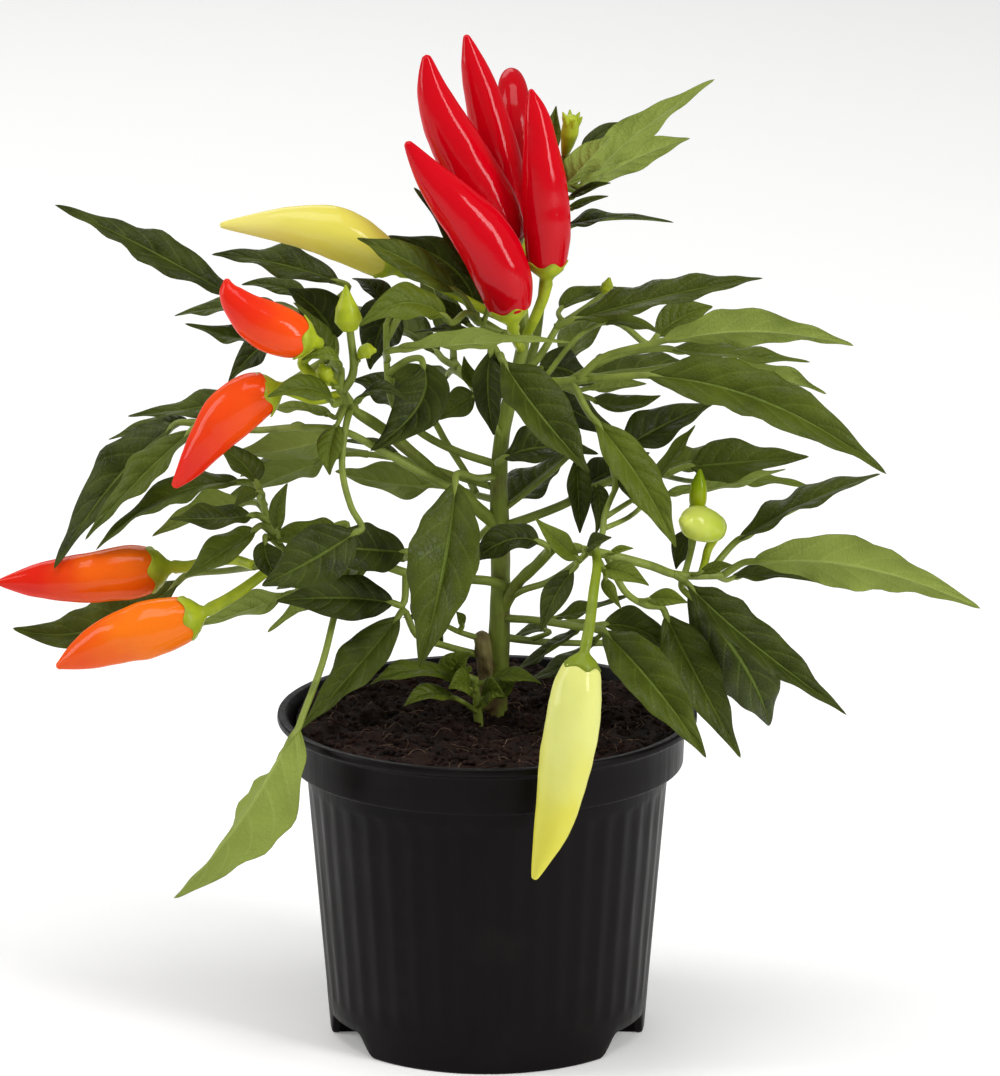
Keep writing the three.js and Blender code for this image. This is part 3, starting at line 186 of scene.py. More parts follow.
# One piece from its parts, which takes the place of CAD nodes
def addPiece(name, parts, materials, nodes):
    points = np.vstack([part["grid"][0] for part in parts]) + potAxis
    firsts = np.cumsum([0] + [len(part["grid"][0]) for part in parts])
    faces = [(part["material"], kind + first) for part, first in zip(parts, firsts)
             for kind in part["grid"][1:]]
    corners = np.concatenate([np.full(len(kind), kind.shape[1]) for _, kind in faces])
    mesh = bpy.data.meshes.new(name)
    mesh.vertices.add(len(points))
    mesh.vertices.foreach_set("co", (points / 1000).ravel())
    mesh.loops.add(int(corners.sum()))
    mesh.loops.foreach_set("vertex_index", np.concatenate([kind.ravel() for _, kind in faces]))
    mesh.polygons.add(len(corners))
    mesh.polygons.foreach_set("loop_start", corners.cumsum() - corners)
    mesh.polygons.foreach_set("material_index", np.repeat([index for index, _ in faces],
                                                          [len(kind) for _, kind in faces]))
    mesh.polygons.foreach_set("use_smooth", np.ones(len(corners), bool))
    mesh.update(calc_edges=True)
    layer = mesh.attributes.new("bladeData", "FLOAT_COLOR", "POINT")
    layer.data.foreach_set("color", np.vstack([part["pattern"] for part in parts]).ravel())
    marked = np.concatenate([part["marked"] for part in parts])
    ends = np.zeros(len(mesh.edges) * 2, np.int32)
    mesh.edges.foreach_get("vertices", ends)
    sharp = marked[ends].reshape(-1, 2).all(1)
    mesh.attributes.new("sharp_edge", "BOOLEAN", "EDGE").data.foreach_set("value", sharp)
    for material in materials:
        mesh.materials.append(material)
    piece = linkNew(name, mesh)
    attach(piece, "root")
    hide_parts(*nodes)
    return piece


# Finishes

# An sRGB hex colour as linear red, green, blue and alpha
def linear(hexColor):
    channels = np.array([int(hexColor[i:i + 2], 16) for i in (1, 3, 5)]) / 255
    low, high = channels / 12.92, ((channels + 0.055) / 1.055) ** 2.4
    return (*np.where(channels <= 0.04045, low, high), 1.0)


# Adds a node with its settings, and gives back one of its outputs. Inputs are values or outputs to link.
def addNode(tree, kind, inputs=None, output=0, **settings):
    node = tree.nodes.new("ShaderNode" + kind)
    for name, value in settings.items():
        setattr(node, name, value)
    for socket, value in (inputs or {}).items():
        if isinstance(value, bpy.types.NodeSocket):
            tree.links.new(value, node.inputs[socket])
        else:
            node.inputs[socket].default_value = value
    return node.outputs[output]


# A new material with constant values on its shader's sockets, and addNode for its own tree
def startMaterial(name, fixed):
    material = bpy.data.materials.new(name)
    material.use_nodes = True
    for socket, value in {"Metallic": 0.0, **fixed}.items():
        material.node_tree.nodes["Principled BSDF"].inputs[socket].default_value = value
    return material, partial(addNode, material.node_tree)


# Links outputs to the shader's sockets
def finishMaterial(material, outputs):
    for socket, output in outputs.items():
        material.node_tree.links.new(output, material.node_tree.nodes["Principled BSDF"].inputs[socket])
    return material


smooth = {"interpolation_type": "SMOOTHSTEP"}
colors = {"data_type": "RGBA"}

leafLook = {
    "dark": "#232b0a", "fresh": "#6d7d20", "veinUpper": "#788b3a",
    "underDark": "#5f7029", "underFresh": "#8c9b46", "veinUnder": "#a6b364",
    "veinPairs": 6.5, "veinLean": 0.23, "veinWidth": 0.1, "veinStrength": 0.44,
    "netMm": 1.7,          # width of the smallest fields between veins
    "patchMm": 9,          # width of lighter and darker patches
    "waxSmooth": 0.34, "waxRough": 0.48, "relief": 0.6,
}


# Pepper leaf, living: a waxy dark upper face with paler sunk veins, and a matter paler underside where
# the veins stand proud. bladeData gives the place along the blade, the side, how fresh it is and the face.
def makeLeafBlade(look):
    material, add = startMaterial("pepperLeafWaxy", {"IOR": 1.45, "Specular IOR Level": 0.17})
    here = add("TexCoord", output="Object")
    data = add("Attribute", output="Color", attribute_name="bladeData")
    under = data.node.outputs["Alpha"]
    along = add("SeparateColor", {0: data})
    side, fresh = along.node.outputs[1], along.node.outputs[2]

    # side veins leave the midrib in pairs and lean toward the tip, those of one side between the other's
    out = add("Math", {0: side}, operation="ABSOLUTE")
    bent = add("Math", {0: out, 1: 1.25}, operation="POWER")
    start = add("Math", {0: bent, 1: -look["veinLean"], 2: along}, operation="MULTIPLY_ADD")
    stagger = add("MapRange", {0: side, 1: -0.01, 2: 0.01, 3: 0.0, 4: 0.42}, **smooth)
    count = add("Math", {0: start, 1: look["veinPairs"], 2: stagger}, operation="MULTIPLY_ADD")
    fromVein = add("Math", {0: count, 1: 0.5}, operation="PINGPONG")
    sideVein = add("MapRange", {0: fromVein, 1: 0.0, 2: look["veinWidth"], 3: 0.36, 4: 0.0}, **smooth)
    toMargin = add("MapRange", {0: out, 1: 0.5, 2: 0.95, 3: 1.0, 4: 0.0}, **smooth)
    sideVein = add("Math", {0: sideVein, 1: toMargin}, operation="MULTIPLY")
    midrib = add("MapRange", {0: out, 1: 0.02, 2: 0.08, 3: 1.0, 4: 0.0}, **smooth)
    veins = add("Math", {0: sideVein, 1: midrib}, operation="MAXIMUM")

    patches = add("TexNoise", {"Vector": here, "Scale": 1000 / look["patchMm"], "Detail": 2.0})
    cells = add("TexVoronoi", {"Vector": here, "Scale": 1000 / look["netMm"]}, "Distance",
                feature="DISTANCE_TO_EDGE")
    net = add("MapRange", {0: cells, 1: 0.0, 2: 0.16, 3: 0.0, 4: 1.0}, **smooth)

    shade = add("Math", {0: patches, 1: 0.5, 2: fresh}, operation="MULTIPLY_ADD")
    shade = add("Math", {0: shade, 1: 0.25}, operation="SUBTRACT", use_clamp=True)
    upper = add("Mix", {0: shade, 6: linear(look["dark"]), 7: linear(look["fresh"])}, 2, **colors)
    underColors = {6: linear(look["underDark"]), 7: linear(look["underFresh"])}
    lower = add("Mix", {0: shade, **underColors}, 2, **colors)
    drawn = add("Math", {0: veins, 1: look["veinStrength"]}, operation="MULTIPLY")
    upper = add("Mix", {0: drawn, 6: upper, 7: linear(look["veinUpper"])}, 2, **colors)
    lower = add("Mix", {0: drawn, 6: lower, 7: linear(look["veinUnder"])}, 2, **colors)
    color = add("Mix", {0: under, 6: upper, 7: lower}, 2, **colors)

    wax = add("MapRange", {0: patches, 1: 0.3, 2: 0.7, 3: look["waxSmooth"], 4: look["waxRough"]}, **smooth)
    roughness = add("Math", {0: under, 1: 0.16, 2: wax}, operation="MULTIPLY_ADD")

    quilt = add("MapRange", {0: fromVein, 1: 0.0, 2: 0.4, 3: 0.0, 4: 0.55}, **smooth)
    raised = add("Math", {0: net, 1: 0.22, 2: quilt}, operation="MULTIPLY_ADD")
    raised = add("Math", {0: midrib, 1: -0.5, 2: raised}, operation="MULTIPLY_ADD")
    facing = add("Math", {0: under, 1: -2.0, 2: 1.0}, operation="MULTIPLY_ADD")
    height = add("Math", {0: raised, 1: facing}, operation="MULTIPLY")
    bump = add("Bump", {"Strength": look["relief"], "Distance": 0.0006, "Height": height})
    return finishMaterial(material, {"Base Color": color, "Roughness": roughness, "Normal": bump})


leafBlade = makeLeafBlade(leafLook)

youngSkin = {
    "ior": 1.45, "specular": 0.3, "patchNoise": {"Detail": 3.0}, "patchRange": (0.42, 0.68, 0.7),
    "lineMm": 0.9, "lineDetail": 2.0, "drawnOut": 0.18, "relief": (0.35, 0.0003),
}
# smooth and rough are the ends of the roughness, patchRange the noise between which the patch colour comes in
# and its full share, drawnOut the scale of the fine lines along the height, relief its strength and metres
drawnLooks = {
    # green stem and leaf stalk, bud and cap: smooth young skin, a little ribbed lengthwise by its fibres,
    # and darker in patches of a few millimetres
    "greenStemSkin": {**youngSkin, "base": "#7c8a37", "patch": "#5f6c27", "patchMm": 7, "smooth": 0.34,
                      "rough": 0.54},
    "freshBudSkin": {**youngSkin, "base": "#a7b424", "patch": "#87981f", "patchMm": 5, "smooth": 0.28,
                     "rough": 0.48},
    # the hanging yellow fruit's cap and stalk: a darker green than the other caps, which is painted shade
    "paintedShadeCapSkin": {**youngSkin, "base": "#778718", "patch": "#667514", "patchMm": 6, "smooth": 0.32,
                    "rough": 0.52},
    # injection-moulded polypropylene, black: satin, with a faint upright drag from the mould and thin dust
    "blackPotPlastic": {
        "ior": 1.49, "specular": 0.09, "patchNoise": {"Detail": 4.0, "Roughness": 0.6},
        "patchRange": (0.5, 0.8, 0.45), "lineMm": 1.6, "lineDetail": 3.0, "drawnOut": 0.06,
        "relief": (0.12, 0.0002), "base": "#0c0809", "patch": "#1e1719", "patchMm": 24, "smooth": 0.34,
        "rough": 0.46},
}


# A skin drawn out upward: patches of a second colour, and fine lines that carry roughness and relief
def makeDrawnSkin(name, look):
    material, add = startMaterial(name, {"IOR": look["ior"], "Specular IOR Level": look["specular"]})
    here = add("TexCoord", output="Object")
    upright = add("Mapping", {"Vector": here, "Scale": (1.0, 1.0, look["drawnOut"])})
    patches = add("TexNoise", {"Vector": here, "Scale": 1000 / look["patchMm"], **look["patchNoise"]})
    low, high, share = look["patchRange"]
    patches = add("MapRange", {0: patches, 1: low, 2: high, 3: 0.0, 4: share}, **smooth)
    lines = add("TexNoise", {"Vector": upright, "Scale": 1000 / look["lineMm"], "Detail": look["lineDetail"]})
    color = add("Mix", {0: patches, 6: linear(look["base"]), 7: linear(look["patch"])}, 2, **colors)
    roughness = add("MapRange", {0: lines, 1: 0.3, 2: 0.7, 3: look["smooth"], 4: look["rough"]}, **smooth)
    strength, distance = look["relief"]
    bump = add("Bump", {"Strength": strength, "Distance": distance, "Height": lines})
    return finishMaterial(material, {"Base Color": color, "Roughness": roughness, "Normal": bump})


stemSkin, budSkin, shadedCapSkin, potPlastic = (makeDrawnSkin(name, look) for name, look in drawnLooks.items())

# woody is the share of brown at the foot, and the heights between which it fades are in metres
trunkLooks = {
    "youngTrunkBark": {"green": "#55641a", "pale": "#7d8c30", "brown": "#57402a", "crackMm": 1.1,
                       "patchMm": 8, "woody": 0.26, "woodyBelow": 0.098, "greenAbove": 0.15},
    "dryStumpBark": {"green": "#5f5f22", "pale": "#948456", "brown": "#452f20", "crackMm": 0.8,
                     "patchMm": 8, "woody": 0.2, "woodyBelow": 0.11, "greenAbove": 0.16},
}


# Young woody trunk: green skin that browns toward the foot, with fine lengthwise cracks
def makeTrunkBark(name, look):
    material, add = startMaterial(name, {"IOR": 1.45, "Specular IOR Level": 0.3})
    here = add("TexCoord", output="Object")
    height = add("SeparateXYZ", {0: here}, "Z")
    upright = add("Mapping", {"Vector": here, "Scale": (1.0, 1.0, 0.12)})
    cracks = add("TexNoise", {"Vector": upright, "Scale": 1000 / look["crackMm"], "Detail": 5.0,
                              "Roughness": 0.62})
    patches = add("TexNoise", {"Vector": here, "Scale": 1000 / look["patchMm"], "Detail": 3.0})
    woody = add("MapRange", {0: height, 1: look["woodyBelow"], 2: look["greenAbove"], 3: look["woody"],
                             4: 0.06}, **smooth)
    brown = add("Math", {0: patches, 1: woody}, operation="ADD")
    brown = add("MapRange", {0: brown, 1: 0.55, 2: 0.95, 3: 0.0, 4: 1.0}, **smooth)
    green = add("Mix", {0: cracks, 6: linear(look["green"]), 7: linear(look["pale"])}, 2, **colors)
    color = add("Mix", {0: brown, 6: green, 7: linear(look["brown"])}, 2, **colors)
    roughness = add("MapRange", {0: cracks, 1: 0.3, 2: 0.7, 3: 0.62, 4: 0.46}, **smooth)
    bump = add("Bump", {"Strength": 0.6, "Distance": 0.0006, "Height": cracks})
    return finishMaterial(material, {"Base Color": color, "Roughness": roughness, "Normal": bump})


trunkBark, stumpBark = (makeTrunkBark(name, look) for name, look in trunkLooks.items())

# Colour at the foot and at the tip, where along the fruit they meet, the flesh's glow, and the slot
fruitLooks = {
    "red": ("#c00214", "#c60415", 0.5, (1.0, 0.2, 0.1), "fruit_red"),
    "redDark": ("#a80312", "#b60514", 0.5, (1.0, 0.2, 0.1), "fruit_red"),
    "scarlet": ("#ea4c12", "#dc2412", 0.5, (1.0, 0.35, 0.1), "fruit_scarlet"),
    "orangeRed": ("#e8640f", "#d42210", 0.5, (1.0, 0.4, 0.1), "fruit_scarlet"),
    "orange": ("#ee7414", "#e4500f", 0.6, (1.0, 0.45, 0.1), "fruit_orange"),
    "paleYellow": ("#d6cd58", "#ded372", 0.6, (1.0, 0.9, 0.3), "fruit_yellow"),
    "yellow": ("#d4d67a", "#cdc746", 0.5, (1.0, 0.9, 0.3), "fruit_yellow"),
    "limeYellow": ("#aebf3c", "#c3cd58", 0.5, (0.9, 1.0, 0.3), "fruit_yellow"),
    "green": ("#a2b012", "#86a00c", 0.5, (0.6, 1.0, 0.2), "fruit_green"),
}
skinLook = {
    "coat": 0.42, "coatRoughness": 0.1, "smooth": 0.26, "rough": 0.38, "relief": 0.2,
    "patchMm": 11, "dimpleMm": 2.2,
    "wander": 0.45, "blend": 0.3,    # how far patches shift the change of colour, and half its length
}


# Ripe chilli skin: a thin glossy wax over soft flesh, nearly even in colour, with the faintest dimples
def makeFruitSkin(name, look):
    skin = skinLook
    foot, tip, turnsAt, glow, _ = look
    material, add = startMaterial(name, {
        "IOR": 1.45, "Subsurface Weight": 0.08, "Subsurface Radius": glow, "Subsurface Scale": 0.002,
        "Specular IOR Level": 0.0, "Coat Weight": skin["coat"], "Coat Roughness": skin["coatRoughness"]})
    here = add("TexCoord", output="Object")
    data = add("Attribute", output="Color", attribute_name="bladeData")
    along = add("SeparateColor", {0: data})
    patches = add("TexNoise", {"Vector": here, "Scale": 1000 / skin["patchMm"], "Detail": 2.0})
    shifted = add("Math", {0: patches, 1: skin["wander"], 2: along}, operation="MULTIPLY_ADD")
    middle = turnsAt + skin["wander"] / 2
    ripe = add("MapRange", {0: shifted, 1: middle - skin["blend"], 2: middle + skin["blend"], 3: 0.0,
                            4: 1.0}, **smooth)
    color = add("Mix", {0: ripe, 6: linear(foot), 7: linear(tip)}, 2, **colors)
    dimples = add("TexNoise", {"Vector": here, "Scale": 1000 / skin["dimpleMm"], "Detail": 3.0})
    roughness = add("MapRange", {0: patches, 1: 0.3, 2: 0.7, 3: skin["smooth"], 4: skin["rough"]}, **smooth)
    bump = add("Bump", {"Strength": skin["relief"], "Distance": 0.0003, "Height": dimples})
    return finishMaterial(material, {"Base Color": color, "Roughness": roughness, "Normal": bump,
                                     "Coat Normal": bump})


fruitSkins = {name: makeFruitSkin("chilliSkin-" + name, look) for name, look in fruitLooks.items()}

peatLooks = {
    "dampPeat": {"dark": "#0d0706", "light": "#301c14", "contrast": 0.14, "crumbMm": 5, "grainMm": 0.9},
    "peatFibre": {"dark": "#3a261c", "light": "#8a705c", "contrast": 0.2, "crumbMm": 5, "grainMm": 0.9},
}


# Damp potting peat: crumbs from nearly black to red-brown, fully matt
def makePeat(name, look):
    material, add = startMaterial(name, {"IOR": 1.4, "Specular IOR Level": 0.3})
    here = add("TexCoord", output="Object")
    coarse = add("TexNoise", {"Vector": here, "Scale": 1000 / look["crumbMm"], "Detail": 4.0,
                              "Roughness": 0.6})
    fine = add("TexNoise", {"Vector": here, "Scale": 1000 / look["grainMm"], "Detail": 4.0,
                            "Roughness": 0.7})
    both = add("Math", {0: coarse, 1: fine}, operation="ADD")
    low, high = 1 - 2 * look["contrast"], 1 + 2 * look["contrast"]
    share = add("MapRange", {0: both, 1: low, 2: high, 3: 0.0, 4: 1.0}, **smooth)
    color = add("Mix", {0: share, 6: linear(look["dark"]), 7: linear(look["light"])}, 2, **colors)
    roughness = add("MapRange", {0: fine, 1: 0.3, 2: 0.7, 3: 0.82, 4: 1.0}, **smooth)
    bump = add("Bump", {"Strength": 0.9, "Distance": 0.0008, "Height": both})
    return finishMaterial(material, {"Base Color": color, "Roughness": roughness, "Normal": bump})


peatCrumb, peatFibre = (makePeat(name, look) for name, look in peatLooks.items())
print("finishes ready")


# Leaves

bladeShape = {
    "stations": 34,        # cross-sections along a blade
    "thickness": 0.42,     # mm at the middle, thinner at the margin
    "broadest": 0.76,      # less moves the broadest place toward the foot
    "slender": 1.15,       # more makes both ends slimmer
    "midrib": 0.75,        # mm that the midrib stands out below at the foot
    "midribWidth": 0.55,   # mm to either side of its middle
    "fullWidth": 14,       # mm, narrower blades have smaller ripples, tips and midribs
    "footWidth": 0.8,      # mm that the half width starts with at the foot
    "leastWidth": 0.03,    # mm that the half width has anywhere
    "ripple": 0.75,        # mm of the finer waves of the margin
    "rippleLength": 13,    # mm from crest to crest
    "scallop": 0.035,      # how far the margin wanders in and out, as a share of the half width
    "tip": 3.2,            # mm, rounds the tip
    "cup": 0.09,           # how far each half bows up, as a share of its width
    "droop": 0.05,         # how far its margin bows down again
    "foldLevel": 0.45,     # the share of the half width at which the fold neither lifts nor lowers it
    "foldRound": 0.004,    # more makes the fold at the midrib rounder
    "wavyLength": 21,      # mm, shorter blades have no long waves
    "longLength": 36,      # mm, longer blades have one more
    "sunkRib": 0.25,       # how deep the midrib lies above, as a share of how far it stands out below
    "stalkRadius": 0.85,   # mm
    "stalkSunk": 0.19,     # how deep the stalk runs below a folded blade, as a share of its width
}
# Places across the blade as shares of its half width, closer together toward the midrib
columnStep = np.linspace(0, 1, 9)
bladeColumns = np.append(columnStep[:-1] ** 1.4, (0.975, 1.0))
bladeColumns = np.append(-bladeColumns[:0:-1], bladeColumns)


# Half width of a blade along its length, as a share of the full half width: half a sine wave over a power
# of the place, raised to a power
def outline(s):
    return np.sin(np.pi * s ** bladeShape["broadest"]) ** bladeShape["slender"]


# Quadratic curve through the blade's base, middle and tip, its directions and its length
def bladeLine(row, s):
    base, middle, tip = place([row["base"], row["middle"], row["tip"]])
    control = 2 * middle - (base + tip) / 2
    s = s[:, None]
    line = (1 - s) ** 2 * base + 2 * s * (1 - s) * control + s ** 2 * tip
    direction = unit(2 * (1 - s) * (control - base) + 2 * s * (tip - control))
    return line, direction, np.linalg.norm(tip - base)


# The direction that the upper face looks to: toward the eye, turned about the blade by the face angle
def faceNormal(row):
    line, _, _ = bladeLine(row, np.array([0, 0.5, 1]))
    chord = unit(line[2] - line[0])
    toEye = square(unit(eye - line[1]), chord)
    side = np.cross(toEye, chord) * (-1 if chord[0] < 0 else 1)
    angle = math.radians(row["face"])
    return toEye * math.cos(angle) + side * math.sin(angle)


# A blade: at length s and side v, a point is the line's point + across v half + up lift, where lift is
# the fold (both halves raised from the midrib), the long waves of the whole blade and the finer
# ripples of its margin. Upper and lower faces lie half a thickness to either side, and meet at the margin.
def bladePart(row, seed):
    shape = bladeShape
    u = np.linspace(0, 1, shape["stations"])
    s = 0.5 * u + 0.5 * (1 - np.cos(np.pi * u)) / 2    # closer together toward both ends
    line, tangent, length = bladeLine(row, s)
    up = square(np.repeat(faceNormal(row)[None], len(s), 0), tangent)
    across = np.cross(up, tangent)
    startLeft, startRight, startScallop = np.random.default_rng(seed).uniform(0, 2 * np.pi, 3)
    share = outline(s)
    size = min(1, row["width"] / shape["fullWidth"])
    blunt = shape["tip"] * size * np.sqrt(1 - s) * s ** 16
    half = share * row["width"] / 2 + shape["footWidth"] * (1 - s) ** 8 + blunt + shape["leastWidth"]
    half = half[:, None]
    v = bladeColumns[None, :]
    fold = math.radians(row["fold"])
    # crests and troughs of the long waves: a long blade has more of them, a small one has none
    marks = [0, 0.17, 0.42, 0.72, 1] if length > shape["longLength"] else [0, 0.3, 0.66, 1]
    swing = -np.cos(np.pi * np.interp(s, marks, range(len(marks))))[:, None]
    wave = row["wave"] * share[:, None] * v * swing * (1 if length > shape["wavyLength"] else 0)
    # the two margins ripple at slightly different rates, so that they do not mirror each other
    turns = length / shape["rippleLength"] * s[:, None]
    turned = 2 * np.pi * turns
    fringe = np.where(v < 0, np.sin(turned + startLeft), np.sin(1.13 * turned + startRight))
    fringe = shape["ripple"] * size * np.sqrt(share)[:, None] * np.abs(v) ** 2.2 * fringe
    bow = shape["cup"] * half * 4 * (np.abs(v) - v ** 2) - shape["droop"] * half * v ** 2
    raised = np.sqrt(v ** 2 + shape["foldRound"]) - shape["foldLevel"]
    lift = raised * half * math.sin(fold) + wave + fringe + bow
    scallop = 1 + shape["scallop"] * np.sin(2 * np.pi * turns * 1.4 + startScallop + 2 * np.sign(v))
    reach = v * half * math.cos(fold) * np.where(np.abs(v) > 0.9, scallop, 1 + (scallop - 1) * np.abs(v) ** 3)
    middle = line[:, None] + across[:, None] * reach[..., None] + up[:, None] * lift[..., None]
    depth = shape["thickness"] / 2 * np.sqrt(np.maximum(0, 1 - v ** 6)) * np.minimum(1, half / 0.8)
    rib = np.exp(-(v * half / shape["midribWidth"]) ** 2)
    rib = shape["midrib"] * (1 - 0.85 * s[:, None]) * size ** 0.5 * rib
    upper = middle + up[:, None] * (depth - shape["sunkRib"] * rib)[..., None]
    lower = middle - up[:, None] * (depth + rib)[..., None]
    inner = slice(len(bladeColumns) - 2, 0, -1)    # the lower face runs back, without the two margins
    sides = np.append(bladeColumns, bladeColumns[inner])
    under = np.repeat([0.0, 1.0], [len(bladeColumns), len(bladeColumns) - 2])
    tone = row["tone"]
    pattern = np.stack(np.broadcast_arrays(s[:, None], sides, tone, under), -1)
    pattern = np.vstack([pattern.reshape(-1, 4), [[0, 0, tone, 0], [1, 0, tone, 0]]])
    margin = np.append(np.tile(np.abs(sides) == 1, len(s)), [False, False])
    return partOf(closedGrid(np.concatenate([upper, lower[:, inner]], 1)), 0, pattern, margin)


# The leaf's stalk, a rod from the stem that runs on below the blade as its midrib
def stalkPart(row):
    places = np.array([0, 0.06, 0.16])
    line, tangent, _ = bladeLine(row, places)
    up = square(np.repeat(faceNormal(row)[None], 3, 0), tangent)
    thick = bladeShape["stalkRadius"] * (1.15 if row["width"] > 9 else 0.85)
    # down to the midrib of the folded blade
    sunk = bladeShape["stalkSunk"] * row["width"] * outline(places) * math.sin(math.radians(row["fold"]))
    line = line - up * (sunk + thick * np.array([0.1, 0.7, 0.35]))[:, None]
    points = list(place(row["route"]))
    gap = np.linalg.norm(points[-1] - line[0])
    if gap > 4:    # one more place lets the stalk meet the blade in the blade's own direction
        points.append(line[0] - tangent[0] * 0.35 * min(gap, 10))
    sizes = [thick * 1.15] + [thick] * (len(points) - 1) + [thick, thick * 0.75, thick * 0.3]
    return partOf(rod(np.vstack([points, line]), sizes, 10, up=faceNormal(row)), 1)


# Stems, buds and caps

# A stem or branch: a rod whose radius changes evenly from its foot to its end
def stemPart(row):
    points = place(row["route"])
    return partOf(rod(points, np.linspace(row["foot"], row["end"], len(points)), 14, 7), 1)


# A bud, with pointed sepals round its end when it has opened
def budParts(row):
    axis = place(row["axis"])
    parts = [partOf(rod(axis, row["radii"], 16, 6), 2)]
    direction = unit(axis[-1] - axis[-2])
    front = square(np.array([0.3, -1, 0.2]), direction)
    for angle in roundAngles(row["sepals"]) if row["sepals"] else []:
        outward = math.cos(angle) * front + math.sin(angle) * np.cross(direction, front)
        foot = axis[-1] + outward * row["radii"][-1] * 0.6
        bend, end = foot + 0.7 * outward + 0.7 * direction, foot + 1.4 * outward + 2.1 * direction
        parts.append(partOf(rod(np.array([foot - direction, bend, end]), [1, 0.85, 0.25], 8, 4), 2))
    return parts


fruitShape = {
    "columns": 56, "perKnot": 10,
    "uneven": 0.022,      # depth of the dents, as a share of the radius
    "dentMm": (17, 7),    # width of the broad dents and of the finer ones
}
capShape = {
    "columns": 40, "lobes": 5, "lobeDepth": 1.5, "flare": 0.7, "stalkRadius": 1.45,
    "usualFoot": 4.6,    # mm, the fruit's radius at its foot at which the cap has its full size
    "stalkStart": 3.8,   # mm from the fruit's foot back to where the cup becomes the stalk
    "straight": (0.6, 0.35, 0.15),    # how far the stalk's first rings are turned back to the fruit's axis
    "lobeRings": (0.8, 1.0, 0.9), "lobePoint": 2.5,    # how far each ring at the mouth follows the lobes
    # where the cup's rings lie, in mm from the fruit's foot toward its tip: the first four follow the fruit's
    # skin at a distance, the others have a share of the radius at its foot
    "rings": (0.5, 0.95, 0.75, 0.2, -0.5, -1.5, -2.6, -3.6),
    "distances": (-0.1, 0.1, 0.5, 0.6), "shares": (1.03, 0.78, 0.48, 0.34),
    # the hanging yellow fruit, whose cap and stalk get the darker green that is painted shade
    "shadedCapFruit": "fruit_yellow_hanging",    # its cap and stalk are a darker green
}


# Distances along a fruit and its radius there: a rounded shoulder, the body, and a small round tip
def fruitProfile(fruit):
    axis, radii = place(fruit["axis"]), fruit["radii"]
    spans = np.linalg.norm(np.diff(axis, axis=0), axis=1)
    knots = np.append(0, np.cumsum(spans))
    grown = radii[1] - radii[0]
    rows = [[0.0, radii[0] * 0.35], [0.04, radii[0] * 0.85], [0.1 * knots[1], radii[0] + 0.28 * grown],
            [0.36 * knots[1], radii[0] + 0.62 * grown]]
    rows += [[knots[i], radii[i]] for i in range(1, len(axis) - 1)]
    end = radii[-1]
    rows += [[knots[-1] - end, end * 1.05], [knots[-1] - 0.35 * end, end * 0.72], [knots[-1], 0.04]]
    steps = np.linspace(0, len(rows) - 1, (len(rows) - 1) * fruitShape["perKnot"] + 1)
    shape, _ = curveThrough(np.array(rows), steps)
    return np.clip(shape[:, 0], 0, knots[-1]), np.maximum(shape[:, 1], 0.03), knots


# A fruit's cap and stalk: a cup that follows the fruit's foot, with a mouth of pointed lobes, and narrows
# into a rod. The mouth's waves run with the angle.
def capPart(row):
    shape, fruit = capShape, fruits[row["fruit"]]
    base, beyond = place(fruit["axis"][:2])
    direction = unit(beyond - base)
    foot = fruit["radii"][0]
    size = foot / shape["usualFoot"]
    route = place(row["route"])[::-1]
    start = base - direction * shape["stalkStart"] * size
    t = np.linspace(0, len(route), len(route) * 6 + 1)[1:]
    centres, tangents = curveThrough(np.vstack([start, route]), t)
    tangents[:3] = unit(tangents[:3] - direction * np.array(shape["straight"])[:, None])
    along, around, _ = fruitProfile(fruit)
    rings = np.array(shape["rings"]) * size
    lip = np.interp(rings[:4], along, around) + np.array(shape["distances"])
    centres = np.vstack([base + direction * rings[:, None], centres])
    tangents = np.vstack([np.repeat(-direction[None], len(rings), 0), tangents])
    thick = shape["stalkRadius"] * size ** 0.5
    stalkRadii = np.interp(t, [0, 0.7, len(route)], [1.9 * size, 1.15 * thick, 0.9 * thick])
    radii = np.concatenate([lip, np.array(shape["shares"]) * foot, stalkRadii])
    rings = roundRings(centres, tangents, radii, shape["columns"])
    points = np.abs(np.cos(shape["lobes"] * roundAngles(shape["columns"]) / 2)) ** shape["lobePoint"]
    outward = unit(rings[:3] - centres[:3, None])
    share = np.array(shape["lobeRings"])[:, None, None]
    lean = direction * shape["lobeDepth"] + outward * shape["flare"]
    rings[:3] += share * lean * size * points[None, :, None]
    # material 3, the darker cap green, is painted shade
    return partOf(closedGrid(rings), 3 if row["fruit"] == shape["shadedCapFruit"] else 2)


# The plant's rows

# A leaf: how fresh its green is, from 0, old and dark, to 1, young and bright; the route of its stalk from
# the stem; the blade's base, middle, tip and width; and the angle that its upper face is turned away from
# the eye (0 faces the eye, 90 faces up, past 90 shows the underside). Fold is the angle that each half is
# raised, wave the height of the margin's waves.
def leaf(tone, route, base, middle, tip, width, face, fold=18, wave=0.9):
    return {"kind": "leaf", "tone": tone, "route": route, "base": base, "middle": middle, "tip": tip,
            "width": width, "face": face, "fold": fold, "wave": wave}


# A stem or branch: the places that it passes, and its radius at the foot and at the end
def stem(route, foot, end):
    return {"kind": "stem", "route": route, "foot": foot, "end": end}


# A fruit stalk: the places that it passes before it enters the cap of the named fruit
def stalk(fruit, route):
    return {"kind": "stalk", "fruit": fruit, "route": route}


# A bud: places along its axis, its radius at each, and how many sepals have opened at its end
def bud(axis, radii, sepals=0):
    return {"kind": "bud", "axis": axis, "radii": radii, "sepals": sepals}


